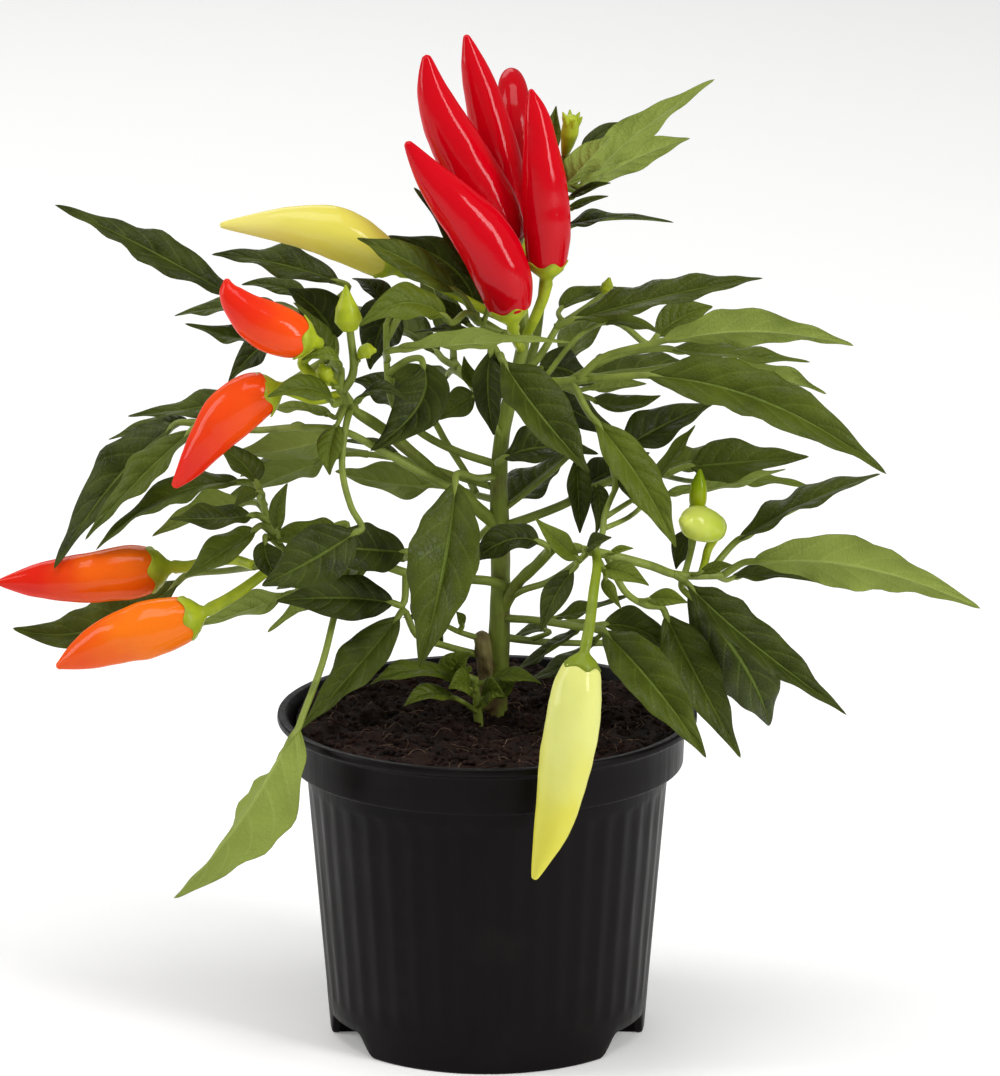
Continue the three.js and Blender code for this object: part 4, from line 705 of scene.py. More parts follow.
fruits = {
    "fruit_red_front": {"skin": "red", "radii": [4.6, 7.9, 8.3, 6.7, 4.2, 1.3], "axis": [
        [6.6, 210.3, -13], [4.6, 220, -13], [-0.3, 231, -13], [-8.6, 241.3, -13], [-16.4, 250.4, -13],
        [-22.6, 259.6, -13]]},
    "fruit_red_left": {"skin": "red", "radii": [4.4, 7.2, 7.6, 6.5, 4.3, 1.5], "axis": [
        [6, 230, 3], [2, 240, 3], [-5, 252, 3], [-11, 263.5, 3], [-15.3, 274.5, 3], [-17, 284.3, 3]]},
    "fruit_red_middle": {"skin": "red", "radii": [4.2, 6.4, 6.4, 5.6, 3.9, 1.1], "axis": [
        [6.8, 232, 17], [5.5, 243, 17], [2.9, 256, 17], [-0.1, 268, 17], [-3.3, 280, 17], [-5.9, 290, 17]]},
    "fruit_red_back": {"skin": "redDark", "radii": [4, 5, 5.2, 4.8, 3.6, 1.1], "axis": [
        [9.5, 236, 29], [9.2, 247, 29], [8.4, 259, 30.5], [7.6, 270, 35], [6.9, 276.8, 42],
        [6.6, 279.2, 50]]},
    "fruit_red_right": {"skin": "red", "radii": [4.6, 6.7, 6.4, 5, 3.2, 0.8], "axis": [
        [16.8, 223.4, -5], [16.8, 234, -5], [16.2, 246, -5], [15, 258, -5], [13.6, 268, -5],
        [12.2, 274.6, -5]]},
    "fruit_yellow_upper": {"skin": "paleYellow", "radii": [4.2, 6.6, 7.6, 6, 4, 0.9], "axis": [
        [-27.5, 224.4, 0], [-34, 229.1, 0], [-42, 233.3, 0], [-52, 235.3, 0], [-62, 235.8, 0],
        [-75, 235.7, 0]]},
    "fruit_scarlet_upper": {"skin": "scarlet", "radii": [4.8, 6.8, 7, 5.4, 3, 1.1], "axis": [
        [-51.3, 202.9, -21], [-56, 204.2, -22], [-62, 206.8, -23], [-68, 211, -24], [-72.4, 216.5, -24],
        [-73.3, 220.4, -24]]},
    "fruit_scarlet_lower": {"skin": "scarlet", "radii": [4.8, 7.2, 7.5, 5.7, 3.6, 1.3], "axis": [
        [-61.2, 187.6, -19], [-66.5, 185.6, -20], [-73, 180.6, -21], [-78.6, 173.5, -22], [-84, 165.8, -22],
        [-88.8, 159.8, -22]]},
    "fruit_orange_far": {"skin": "orangeRed", "radii": [5, 7.7, 7.4, 6.4, 4.6, 1], "axis": [
        [-93.4, 136, 2], [-100, 135.1, 2], [-109, 133.9, 2], [-119, 132.9, 2], [-129, 132.3, 2],
        [-139.4, 131.9, 2]]},
    "fruit_orange_near": {"skin": "orange", "radii": [4.8, 7.2, 8.2, 7, 4.6, 1.2], "axis": [
        [-83.6, 122.2, -15], [-89, 120.3, -15], [-98, 117.7, -16], [-107, 114.7, -16], [-115.5, 110.7, -16],
        [-122.8, 106.9, -16]]},
    "fruit_yellow_hanging": {"skin": "yellow", "radii": [3.9, 6.9, 7.6, 7, 5.2, 1.1], "axis": [
        [27.2, 108.6, -66], [25.6, 99.5, -67], [24, 88.5, -68], [22, 76, -68], [18.8, 60, -68],
        [13.4, 43.6, -68]]},
    "fruit_squat": {"skin": "limeYellow", "radii": [2.7, 4.7, 4.6, 1.9], "axis": [
        [65, 147.6, -13], [62.4, 148.6, -17], [58.4, 149.6, -22], [55, 150, -26.5]]},
    "fruit_green_small": {"skin": "green", "radii": [1.7, 2.5, 2.2, 0.6], "axis": [
        [59.6, 153.6, -13], [59.7, 156.5, -13], [59.9, 160.5, -13], [60.2, 165.2, -13]]},
}

# The main stem with its two thick branches, and last the dry stump at its foot
mainStem = [
    stem([[1.8, 77, 0], [2.4, 95, 0], [3.2, 112, 0], [3.7, 128, 0], [3.7, 146, 0], [3.2, 160, 0],
         [3.8, 172, 0.5], [6, 184, 1], [9, 195.5, 2]], 3.5, 1.9),
    stem([[3.4, 148, 0], [-8, 158.5, -5], [-17, 166, -7], [-26, 174, -9], [-40, 184, -12]], 1.9, 1.6),
    stem([[3.8, 122, 0], [8, 131, -5], [14, 137, -13], [20, 142.5, -22], [28, 141.5, -33]], 1.7, 1.4),
    stem([[1, 95, -0.4], [0, 105, -1], [-1, 112, -1.6], [-1.6, 117.6, -2.2]], 2.8, 2.3),
]

# The leafy stems, each with its branches, fruit stalks, buds and leaves
shoots = {
    "left_shoot": [
        stem([[-38.5, 183, -12], [-41, 187, -14], [-41.2, 194, -15.5]], 1.7, 1.1),
        stem([[-40.8, 187.6, -14.2], [-37.8, 193, -16], [-38.6, 206, -17]], 1.3, 1.1),
        stalk("fruit_scarlet_upper", [[-41, 190, -14.6], [-48.5, 192, -13], [-52, 196, -11.5],
            [-48.5, 200, -14]]),
        stalk("fruit_scarlet_lower", [[-41, 187, -14], [-48, 185.4, -14], [-54, 187.4, -17]]),
        bud([[-38.6, 205.5, -17], [-39, 208.4, -17], [-39.4, 212, -17], [-39.7, 218.2, -17]],
            [2.2, 4, 3.2, 0.4]),
        bud([[-36, 197.6, -17.4], [-34.8, 199, -18], [-33.3, 199.6, -18], [-31.8, 199.6, -18]],
            [0.8, 2, 2.2, 0.8]),
        bud([[-44.6, 190.6, -18], [-45.3, 192.2, -19], [-46.2, 194, -19.5], [-46.6, 195.4, -19.5]],
            [0.9, 2.2, 2.3, 0.8]),
        leaf(0.1, [[-39, 183.6, -12.3]], [-37, 184.4, -17], [-31, 188.5, -24], [-22, 185, -28], 8, 60),
        leaf(0.8, [[-41.2, 193, -15.3]], [-41.4, 194.6, -18], [-44.6, 198.6, -21], [-52.3, 196.8, -23],
            8, 60),
        leaf(0.45, [[-40.6, 186.2, -13.6]], [-43.6, 185, -19], [-50.5, 189, -27], [-62, 186.2, -31], 10, 40),
        leaf(0.9, [[-40.2, 185.4, -13]], [-44.5, 181, -12], [-53, 183, -6], [-63, 182.5, 2], 6.5, 60),
        leaf(0.5, [[-41.2, 193.8, -15.4]], [-43.8, 198, -9], [-47.5, 205.8, -5], [-54.5, 213.5, -3], 8, 60),
        leaf(0.5, [[-39.6, 184.6, -12.8]], [-42.4, 178, -19], [-44.5, 171, -23], [-44.5, 163.3, -24], 8, 20),
        leaf(0.1, [[-38.6, 183, -12], [-40, 177, -19], [-41, 165, -24], [-38.5, 154, -25]],
            [-37.5, 146.5, -27], [-50, 138.5, -32], [-64, 131, -33], 18, 8),
        leaf(0.9, [[-37.9, 193, -16]], [-36.6, 196.6, -17], [-35.9, 198, -17.5], [-34.9, 199.2, -18],
            1.6, 60),
        leaf(0.9, [[-41.1, 189, -14.4]], [-43, 189, -16.8], [-44, 190, -17.6], [-45, 191.8, -18.6], 1.8, 60),
    ],
    "left_back_shoot": [
        stem([[-37.6, 182.8, -10.6], [-42, 190, 0.6], [-45, 199, 9], [-46.4, 211, 18.5]], 1.5, 1),
        leaf(0.15, [[-46.1, 208.4, 16.2]], [-71, 215, 20], [-95, 229.2, 25], [-121, 241.5, 24], 14, 45),
        leaf(0.3, [[-45.7, 205.4, 13.6]], [-60, 213, 30], [-74, 212.4, 36], [-88, 209.6, 40], 9, 60),
        leaf(0.3, [[-45.3, 201.8, 10.4]], [-57, 202.6, 26], [-70, 203.6, 32], [-85, 207.4, 35], 11, 60),
        leaf(0.25, [[-44.6, 197.4, 6.2]], [-64, 187, 10], [-82, 183.4, 16], [-101.5, 180.6, 20], 10.5, 50),
        leaf(0.1, [[-45.1, 200, 9]], [-57, 205, 14], [-65, 200, 14], [-73, 190, 12], 11, 40),
        leaf(0.1, [[-43.8, 194.4, 3]], [-43, 203, 8], [-47, 210.6, 7], [-56, 217.5, 9], 16, 20),
        leaf(0.15, [[-46.4, 210.8, 18.4]], [-42, 219.5, 18], [-58, 225, 19], [-77.3, 227.3, 19], 14, 50),
        leaf(0.3, [[-46.2, 209.6, 17.3]], [-51, 214.6, 27], [-59, 218.4, 30], [-69, 218.6, 31], 8, 50),
    ],
    "far_left_leaves": [
        stem([[-9, 159, -5.3], [-14, 161.5, -11], [-29, 170, -14], [-41, 176.3, -15.5], [-53, 177.3, -12],
            [-66, 176.5, -3], [-80, 178, 7]], 1.2, 0.9),
        leaf(0.15, [[-79.6, 178, 6.8]], [-89, 177.5, 10], [-105.5, 162.4, 14], [-123, 136, -5], 18, 42),
        leaf(0.35, [[-77.4, 177.8, 5]], [-85, 179, 14], [-95, 177.4, 21], [-107, 173.8, 27], 8, 50),
        leaf(0.4, [[-68, 176.6, -1.6], [-75, 177.4, 0]], [-84, 176, 0], [-98.5, 162.8, -1],
            [-114, 144.5, -1], 13, 48),
        leaf(0.7, [[-41, 176.3, -15.5]], [-43, 175.5, -8], [-57, 171.5, 0], [-72, 169.5, 6], 14, 140),
    ],
    "inner_left_leaves": [
        stem([[1.5, 160, 0], [-10, 163.5, 3], [-22, 167.5, 5], [-34, 169.5, 6], [-42, 169.5, 6]], 1.1, 0.8),
        leaf(0.6, [[-41.6, 169.5, 6]], [-46, 168, 7], [-58, 164, 12], [-74, 156, 16], 14, 130),
        leaf(0.3, [[-22, 167.5, 5]], [-25.5, 169.4, 7], [-32.5, 172.4, 10], [-42, 173.6, 12], 6, 60),
        leaf(0.3, [[-34, 169.5, 6]], [-46, 171, 24], [-57, 168.5, 40], [-70, 163, 54], 14, 55),
    ],
    "left_middle_leaf": [
        leaf(0.5, [[3.2, 156, 0], [-3, 157.6, 6], [-10, 159.8, 11]], [-16, 160.6, 15], [-29, 162, 20],
            [-43, 164.5, 24], 14, 135),
        leaf(0.15, [[-3, 157.6, 6], [-6, 164, 14], [-12, 173.7, 20]], [-17, 181, 24], [-27, 188, 29],
            [-38, 191, 32], 15, 40),
    ],
    "left_lower_branch": [
        stem([[6, 130.5, -2], [1, 132.3, -5.5], [-7, 133, -9], [-20, 134, -11], [-30, 137, -13],
            [-42, 139, -14.5], [-54, 138, -14], [-66, 136.8, -10.4]], 1.4, 1.1),
        stem([[-55.5, 138, -13.6], [-61, 147, -11], [-64.4, 159.5, -8.4]], 1.1, 0.9),
        stalk("fruit_orange_far", [[-65.8, 136.8, -10.4], [-72, 138.6, -5], [-79, 138, -1],
            [-85, 136.6, 1.6]]),
        stalk("fruit_orange_near", [[-60, 137.4, -12.2], [-66, 132.5, -14], [-73, 127.5, -15]]),
        leaf(0.6, [[-42, 139, -14.5]], [-43, 148.6, -12], [-52, 146.8, -13], [-64, 143.8, -14], 11, 55),
        leaf(0.1, [[-20, 134, -11]], [-23.5, 141, -13], [-36, 142, -21], [-52, 143, -28], 15, 15),
        leaf(0.1, [[-23, 134.8, -11.6]], [-27, 126, -17], [-42, 127.5, -22], [-60, 126.5, -24], 14, 10),
        leaf(0.7, [[-34, 137.6, -13.3]], [-40, 132, -13], [-51, 126, -13], [-62.5, 117.3, -14], 11, 120),
        leaf(0.7, [[-39, 138.6, -14.2], [-43, 124, -17], [-47, 108, -28]], [-54, 88.6, -38],
            [-68.4, 61, -46], [-90, 38, -42], 25, 226, 38, 1.6),
        leaf(0.7, [[-52, 138.2, -14]], [-57, 128.5, -9], [-70, 124, -6], [-84, 118.5, -4], 10, 130),
        leaf(0.3, [[-63.4, 137, -11.2], [-74, 135.4, 5]], [-88, 132, 12], [-112, 118.4, 16],
            [-135, 118.5, 16], 17, 30),
        leaf(0.4, [[-60, 145.4, -11.4]], [-66, 147.4, -14], [-75.5, 141, -17], [-86, 133.5, -19], 12, 40),
        leaf(0.15, [[-57.6, 141.4, -12.6]], [-63, 143.6, -16], [-62, 138, -20], [-58.5, 131.5, -23], 9, 20),
        leaf(0.35, [[-63, 154.4, -9.4]], [-70.5, 161.4, -3], [-91, 157.3, -2], [-111, 141.5, -2], 13, 55),
        leaf(0.7, [[-62.2, 151.6, -10]], [-68, 155.6, 4], [-80, 153.4, 10], [-95, 145.5, 12], 12, 135),
        leaf(0.15, [[-61.6, 149.2, -10.4]], [-67, 151.6, -13], [-78, 151, -17], [-90, 150.6, -20], 12, 50),
        leaf(0.3, [[-64.4, 159.2, -8.4]], [-65.4, 161.4, -7.6], [-69.6, 167.6, -4], [-78, 173, 0], 11, 45),
        leaf(0.3, [[-63.6, 156.6, -9]], [-65, 158.4, -13], [-68.4, 157.4, -15], [-72, 153.4, -16], 6, 45),
        leaf(0.45, [[-58.8, 143.4, -12]], [-59.4, 147.4, -16], [-59, 154.4, -18], [-56.5, 161, -18], 6, 30),
    ],
    "low_left_leaf": [
        leaf(0.25, [[-2.6, 110.6, -1], [-12, 113.3, -6], [-20, 116.3, -11]], [-25.5, 121.6, -15],
            [-37.5, 107, -25], [-53, 88.8, -30], 14, 25, 22),
    ],
    "stump_leaves": [
        stem([[-2, 115.4, -2], [-8, 117.4, -4], [-12, 119.4, -7]], 0.9, 0.7),
        leaf(0.5, [[-8, 117.4, -4]], [-7, 119.4, -5], [-7.4, 121.4, -6], [-8.8, 123.4, -6], 4, 40),
        leaf(0.5, [[-12, 119.4, -7]], [-14, 120.4, -7.6], [-18, 121.8, -7], [-24, 121.6, -6], 5, 50),
    ],
    "left_inner_shoot": [
        stem([[2.6, 166.5, 0], [-9, 170.5, -1.6], [-19, 176, -3.6], [-26, 183, -5], [-28, 192, -6],
            [-28.4, 207, -4]], 1.2, 0.9),
        leaf(0.1, [[-28, 193, -6], [-22, 197, -9]], [-18, 195.5, -12], [-19.5, 183.5, -16],
            [-33, 170.5, -20], 16, 10),
        leaf(0.3, [[-27.5, 189, -5.7]], [-26.5, 191, -4], [-21, 193, 0], [-13.8, 193, 4], 8, 40),
        leaf(0.7, [[-28.1, 197, -5.4]], [-25, 200, -19], [-2, 202.6, -28], [23.5, 202, -30], 10, 120),
        leaf(0.1, [[-28.2, 203, -4.6]], [-24.5, 213, 3], [-30, 206, 10], [-33, 194, 13], 15, 15),
        leaf(0.1, [[-28.4, 206.8, -4]], [-28, 211.6, 0], [-31.6, 217.6, 4], [-38, 220.4, 9], 9, 50),
    ],
    "front_leaf": [
        leaf(0.3, [[2.4, 163, 0], [-3, 162.6, -11]], [-9, 160.6, -20], [-13, 134, -34], [-19.3, 107, -37],
            22, 10, 26, 1.6),
    ],
    "crown_shoot": [
        stem([[8.8, 194.4, 2], [10.2, 203, 3], [9.8, 212, 5], [9, 222, 9]], 1.9, 1.6),
        stem([[10.2, 203.6, 3], [2, 205.5, 1], [-3, 208, 0]], 1.1, 0.8),
        stalk("fruit_red_front", [[9.6, 200, 2.5], [8.6, 202, -6], [7.4, 205, -10.5]]),
        stalk("fruit_red_left", [[9.6, 214.4, 6], [8.2, 221, 4]]),
        stalk("fruit_red_middle", [[9, 221.6, 9], [7.8, 225, 14]]),
        stalk("fruit_red_back", [[9.3, 218, 7.4], [11, 225, 22]]),
        stalk("fruit_red_right", [[10, 202, 2.8], [13, 208, -2], [15.8, 215, -4]]),
        stalk("fruit_yellow_upper", [[10, 206.6, 3.6], [-2, 212, 7.6], [-13, 218, 5.4],
            [-20.6, 221.6, 1.6]]),
        leaf(0.3, [[-2.8, 207.9, 0]], [-9, 217, -6], [-22, 225.5, -12], [-36.5, 232, -15], 11, 30),
        leaf(0.1, [[5, 204.7, 1.6]], [2, 203.6, -6], [-8, 205.6, -10], [-21, 204.8, -12], 8, 75),
        leaf(0.1, [[0.6, 206, 0.6]], [-5, 207, 4], [-10.5, 211.4, 6.6], [-16, 216.4, 8], 6, 45),
        leaf(0.1, [[3.4, 205.1, 1.4], [-1, 208, 8]], [-3, 211, 13], [-10, 224, 16], [-28, 232.6, 18],
            15, 20),
        leaf(0.1, [[-1.2, 207, 0.3]], [-0.6, 215, -0.6], [-8.6, 231, -3], [-20.5, 246.5, -4], 9, 40),
        leaf(0.55, [[-2.2, 207.6, 0], [-6, 210.4, -7]], [-12, 209.6, -15], [-23, 213.6, -21],
            [-36, 206.6, -25], 12, 25),
    ],
    "crown_front_leaves": [
        stem([[7.4, 190, 1.4], [5, 194.4, -6], [3.8, 198.4, -13]], 1.2, 1),
        leaf(0.2, [[3.9, 198, -12.4]], [4.8, 196.2, -17.4], [16, 181, -27], [29, 164, -30], 20, 30, 30),
        leaf(0.1, [[4.6, 195.6, -8]], [1, 199, -11], [0.4, 187, -12], [2, 175, -12], 11, 25),
    ],
    "neck_leaves": [
        stem([[3.8, 174, 0.5], [1, 180, -5], [-2.4, 187, -8]], 1.1, 0.8),
        leaf(0.3, [[-1.6, 185.4, -7.4]], [-3.6, 186.4, -8], [-8, 184.2, -8], [-13.4, 179.5, -6], 9, 10),
        leaf(0.5, [[-2.4, 186.8, -8]], [-3.4, 189, -7], [-5.5, 193, -5], [-6.5, 198, -4], 6, 40),
    ],
    "inner_right_leaf": [
        leaf(0.1, [[3.4, 167.6, 0]], [5, 168.6, -7], [16, 172, -9], [31.5, 169.6, -8], 15, 48),
    ],
    "top_right_shoot": [
        stem([[8, 191, 1.7], [12.8, 199, 7], [15, 212, 11.4], [16.4, 226, 13], [18.5, 240, 13],
            [21.8, 256, 7]], 1.4, 0.9),
        bud([[21.8, 256, 7], [22.4, 258.5, 6], [23.1, 262, 5], [23.6, 265.3, 4]], [1.1, 1.8, 2.5, 2.3], 6),
        leaf(0.75, [[20.6, 250, 9.2]], [27.5, 248.6, 7], [42, 262.6, 8], [63.5, 277.3, 8], 11, 148),
        leaf(0.75, [[20, 247.4, 10.2]], [28, 247.6, 15], [42, 255.6, 20], [56.7, 260.5, 22], 11, 148),
        leaf(0.75, [[19.4, 244.6, 11.2]], [21, 247, 4], [27.5, 254, 0], [34.5, 261.5, -2], 11, 150),
        leaf(0.15, [[21.3, 253.6, 7.8]], [27, 256.7, 14], [32, 262, 18], [38.5, 265, 21], 6, 40),
        leaf(0.15, [[18.9, 242, 12.2]], [23, 243.5, 5], [28.5, 246.2, 2], [34.7, 247.8, 0], 5, 60),
        leaf(0.3, [[18.4, 239.4, 13]], [23, 240.4, 9], [28, 242.5, 8], [34, 244, 7], 5, 60),
        leaf(0.15, [[17.4, 233, 13]], [21, 234.6, 10], [34, 238, 9], [52.3, 236.5, 9], 9, 72),
        leaf(0.4, [[20.9, 251.6, 8.6]], [18.4, 256, 14], [18.6, 263, 17], [19.3, 269.8, 19], 5, 20),
        leaf(0.15, [[11.4, 196.8, 5.4]], [15, 194.4, 8], [23, 194, 13], [32, 187.5, 17], 12, 30),
    ],
    "upper_right_shoot": [
        stem([[7.8, 190.4, 1.5], [14.4, 197.4, 0], [21, 208.6, 3]], 1.3, 0.9),
        stem([[19.6, 206.6, 2.4], [27, 211.5, 9], [33, 216, 12]], 0.9, 0.8),
        bud([[33, 215.8, 12], [33.4, 217, 12.3], [33.9, 218.6, 12.6], [34.3, 220.2, 12.8]],
            [0.9, 1.8, 1.7, 0.6]),
        leaf(0.25, [[19.4, 206.4, 2.4]], [24.6, 208.6, 0], [50, 215.8, -5], [77.5, 220.5, -7], 14, 50),
        leaf(0.45, [[20.9, 208.4, 3]], [21, 212, 9], [27, 216, 15], [38, 217.6, 20], 7, 45),
        leaf(0.45, [[26, 210.8, 8.2], [38, 207, 18]], [48, 204, 25], [55, 209.5, 28], [63.5, 212.3, 31],
            11, 20),
    ],
    "right_fan": [
        stem([[6.2, 185.4, 1.2], [15, 190, -3.4], [22, 190.6, -7], [29, 191.2, -10]], 1.6, 1.1),
        leaf(0.6, [[25.6, 190.9, -8.6], [32, 197.4, -11]], [50, 202.6, -16], [76, 205.8, -22],
            [103.2, 201, -22], 13.5, 140),
        leaf(0.5, [[15.6, 190.8, -3.4], [25, 203, -1.6]], [33, 207.6, 2], [41, 207.8, 7], [49.5, 204, 11],
            8, 60),
        leaf(0.5, [[22.8, 190.6, -7.4], [36, 198, -6]], [52, 200, -7], [70, 198.5, -8], [91, 196.3, -8],
            10, 60),
        leaf(0.35, [[28.8, 191.2, -10]], [45.5, 192.4, -18], [79, 185.2, -31], [113, 163.7, -33],
            19, 30, 24, 1.3),
        leaf(0.6, [[20.4, 190.7, -6], [42, 193.4, 1]], [64, 196, 5], [81, 192.8, 8], [95.7, 187, 8],
            10, 120),
        leaf(0.6, [[18.6, 190.8, -5]], [29, 188.8, -1], [37, 189.8, 0], [45, 190, 0], 7, 130),
        leaf(0.35, [[16.8, 190.8, -4]], [30, 185.4, 5], [39, 184, 8], [49, 186.6, 10], 9, 50),
        leaf(0.5, [[24, 190.7, -8]], [31, 178.8, -16], [44, 161.2, -27], [53.5, 142.2, -32], 13, 20),
    ],
    "right_middle_shoot": [
        stem([[3.7, 148, 0], [13, 151.3, -4], [22, 155, -6], [33, 161, -5], [42, 164, -5], [51, 163.6, -5]],
            1.4, 1),
        leaf(0.15, [[29, 158.8, -5.4]], [30.5, 160.5, -8], [32, 154.5, -11], [30.7, 146, -12], 6, 25),
        leaf(0.3, [[50.6, 163.7, -5]], [57.5, 166, -4], [71, 167.5, -5], [91, 168.8, -7], 15, 35, 18, 1.2),
        leaf(0.6, [[48, 163.8, -5], [58, 161.6, 7]], [68, 162.3, 13], [80, 162, 16], [93, 159.3, 18], 8, 60),
        leaf(0.3, [[41, 163.8, -5], [46, 165, 8]], [50, 165.5, 18], [64, 168.5, 32], [81, 166.5, 46],
            13, 55),
        leaf(0.1, [[23, 155.5, -6], [25, 158, -1]], [28, 161, 4], [36, 165.4, 10], [46, 170, 14], 12, 40),
    ],
    "right_hanging_leaf": [
        leaf(0.15, [[3.7, 152.5, 0], [12, 159, -1], [19, 165, -3]], [25.4, 167.6, -8], [26, 157, -14],
            [26.3, 146.3, -15], 8.5, 20, 30),
    ],
    "middle_leaf": [
        leaf(0.1, [[16, 139.2, -16]], [14.5, 144, -25], [5, 144.4, -27], [-6, 136, -25], 12, 40),
    ],
    "right_shoot": [
        stem([[27, 141.5, -32], [33, 140.4, -32.6], [46, 137, -28], [54, 134.2, -22], [67, 134, -17]],
            1.4, 1.1),
        stem([[56, 134, -21.2], [58, 142, -12], [59.2, 148, -10.4]], 1, 0.9),
        stem([[28, 141.2, -32.6], [29.4, 141.2, -35.6], [31, 140.8, -38.6]], 1.3, 1.1),
        stem([[5, 126.5, -1.5], [10, 129.6, -7], [17, 132, -16], [25, 137.4, -30], [29, 141.2, -34.8]],
            1, 0.9),
        stem([[30, 141, -33], [32.4, 145.4, -32], [33.4, 152, -27], [37, 161, -16]], 1, 0.8),
        stalk("fruit_squat", [[60.6, 134.1, -19.4], [61.8, 138, -14], [62.8, 142, -11]]),
        stalk("fruit_green_small", [[59, 146.8, -10.6], [59.4, 149.6, -12]]),
        stalk("fruit_yellow_hanging", [[30.8, 140.9, -38.2], [31.2, 137, -44], [30.2, 129, -54],
            [29.2, 120, -61]]),
        leaf(0.25, [[62.6, 134.1, -18.6], [67, 140, -14]], [71.6, 144.8, -13], [89, 155.4, -16],
            [111.3, 163.8, -16], 17, 65),
        leaf(0.7, [[66.8, 134, -17]], [76, 138.2, -18], [107, 136.6, -26], [140.2, 124.3, -28],
            16, 155, 14, 1.4),
        leaf(0.3, [[64.8, 134, -17.8]], [70, 133.4, -13], [81, 134.4, -8], [97, 131.4, -6], 7, 60),
        leaf(0.12, [[52.6, 134.7, -23]], [57.5, 131, -25], [76.6, 114, -38], [102.6, 92.8, -43],
            16, 35, 28, 1.3),
        leaf(0.12, [[55.6, 134.1, -21.4]], [57.5, 128, -17], [73.4, 107.5, -22], [80.5, 89.5, -7], 22, 10),
        leaf(0.25, [[34, 140, -32.2], [39, 129.5, -33], [45, 125.3, -28]], [51, 122, -25], [60, 104, -31],
            [72.4, 80, -33], 15, 15),
        leaf(0.6, [[42.6, 126.6, -30]], [46, 127, -33], [51, 127.4, -37], [57, 126, -39], 6.5, 30),
        leaf(0.45, [[58.4, 134.1, -20.2]], [61, 135, -24], [65.6, 136.6, -26], [69.7, 137, -27], 4, 30),
        leaf(0.15, [[57.8, 141.4, -12.6]], [56.8, 147, -7], [55, 141.5, -6], [53.6, 135.8, -7], 7, 20),
        leaf(0.6, [[28.6, 141.2, -33.8]], [25.5, 139.4, -38], [20, 144, -42], [13.5, 151, -44], 7.5, 30),
        leaf(0.12, [[29.4, 141.2, -35.4]], [28.4, 142, -39], [31, 144, -43], [35.3, 145.2, -45], 6, 40),
        leaf(0.12, [[25.4, 137.7, -30.4]], [24, 135.2, -36], [19, 127.5, -40], [15.3, 117.3, -41], 8.5, 25),
        leaf(0.6, [[31, 140.8, -38.4]], [33, 136, -42], [38.5, 135, -46], [46, 131, -49], 8.5, 40),
        leaf(0.6, [[30.4, 141, -37.2]], [33.6, 133, -38], [35, 129, -40], [38.3, 124, -41], 5, 40),
        leaf(0.8, [[30, 141, -36.6]], [35, 140.6, -38], [38, 141.6, -40], [41.5, 142, -41], 4, 50),
        leaf(0.6, [[32.8, 147.6, -30.4], [40, 151, -23]], [51, 158, -4], [67, 161, 2], [84.5, 165.2, 6],
            9, 120),
        leaf(0.15, [[36.8, 160.6, -16.4]], [38, 171, -2], [50, 178.4, 5], [64, 184.3, 9], 14, 35),
        leaf(0.15, [[36, 158.6, -19]], [38.2, 163.6, -15], [40, 160.4, -16], [41.6, 155, -17], 6.5, 30),
        leaf(0.6, [[33.3, 151, -27.8], [41, 156, -21]], [47, 161, -16], [53, 169.5, -15], [58.8, 178, -15],
            9, 60),
    ],
    "low_right_leaves": [
        stem([[3.4, 121.5, 0], [14, 120.8, -8], [25, 119, -17], [32, 118, -23]], 1.2, 0.9),
        leaf(0.3, [[31.4, 118.1, -22.4]], [33.5, 117.4, -26], [48, 101.4, -43], [62.6, 80, -48], 17, 15, 28),
        leaf(0.25, [[27, 118.8, -19]], [33.5, 119.6, -15], [44, 118, -13], [54.5, 110.5, -12], 12, 30),
        leaf(0.3, [[19.6, 120, -12.6]], [26, 118.4, -5], [17, 112, 0], [6.8, 104.8, 8], 9, 70),
        leaf(0.3, [[23.4, 119.4, -15.8]], [31, 115.4, -5], [22, 108, 5], [11, 103, 12], 9, 60),
        leaf(0.4, [[14, 120.8, -8]], [19.5, 121.6, -6], [29, 124.4, -6], [41, 128.3, -7], 7, 60),
    ],
    "low_back_leaves": [
        stem([[3.3, 116, 0], [15, 114.5, 14], [28, 114, 28]], 1.2, 0.9),
        leaf(0.3, [[27.6, 114, 27.6]], [34, 114, 32], [48, 110.5, 46], [66, 103, 58], 16, 55),
        leaf(0.3, [[12, 115, 10.5]], [16.5, 118, 13], [12, 118, 17], [5.5, 114, 20], 6, 60),
    ],
    "back_left_leaves": [
        stem([[4.4, 178, 0.6], [0, 183.6, 12], [-4, 189, 24], [-9.6, 197, 36]], 1.3, 0.9),
        leaf(0.25, [[-8, 194.6, 32.6]], [-14, 199, 38], [-29, 209, 53], [-50, 212, 67], 15, 60),
        leaf(0.3, [[-5.6, 191.4, 27.6]], [-11, 193, 38], [-18.6, 186, 54], [-24, 177, 66], 14, 45),
        leaf(0.2, [[-9.4, 196.8, 35.6]], [-10, 202, 40], [-14, 215, 54], [-18, 228, 64], 14, 40),
    ],
    "middle_back_leaves": [
        stem([[3.6, 141, 0], [-6, 141.4, 13], [-16, 140, 26], [-24, 139, 34]], 1.3, 0.9),
        leaf(0.25, [[-23.6, 139, 33.6]], [-28, 139, 37], [-42, 136.4, 54], [-60, 130, 68], 16, 50),
        leaf(0.35, [[-19, 139.7, 29]], [-19.5, 135, 36], [-16, 123, 50], [-13, 112.6, 56], 13, 30),
        leaf(0.15, [[-6, 141.4, 13], [1, 149, 22]], [5, 155, 28], [13, 162, 38], [23, 170, 48], 15, 45),
    ],
    "back_right_leaves": [
        stem([[6.2, 185, 1.1], [12, 188.6, 13], [18, 190, 25], [24, 191, 36]], 1.3, 0.9),
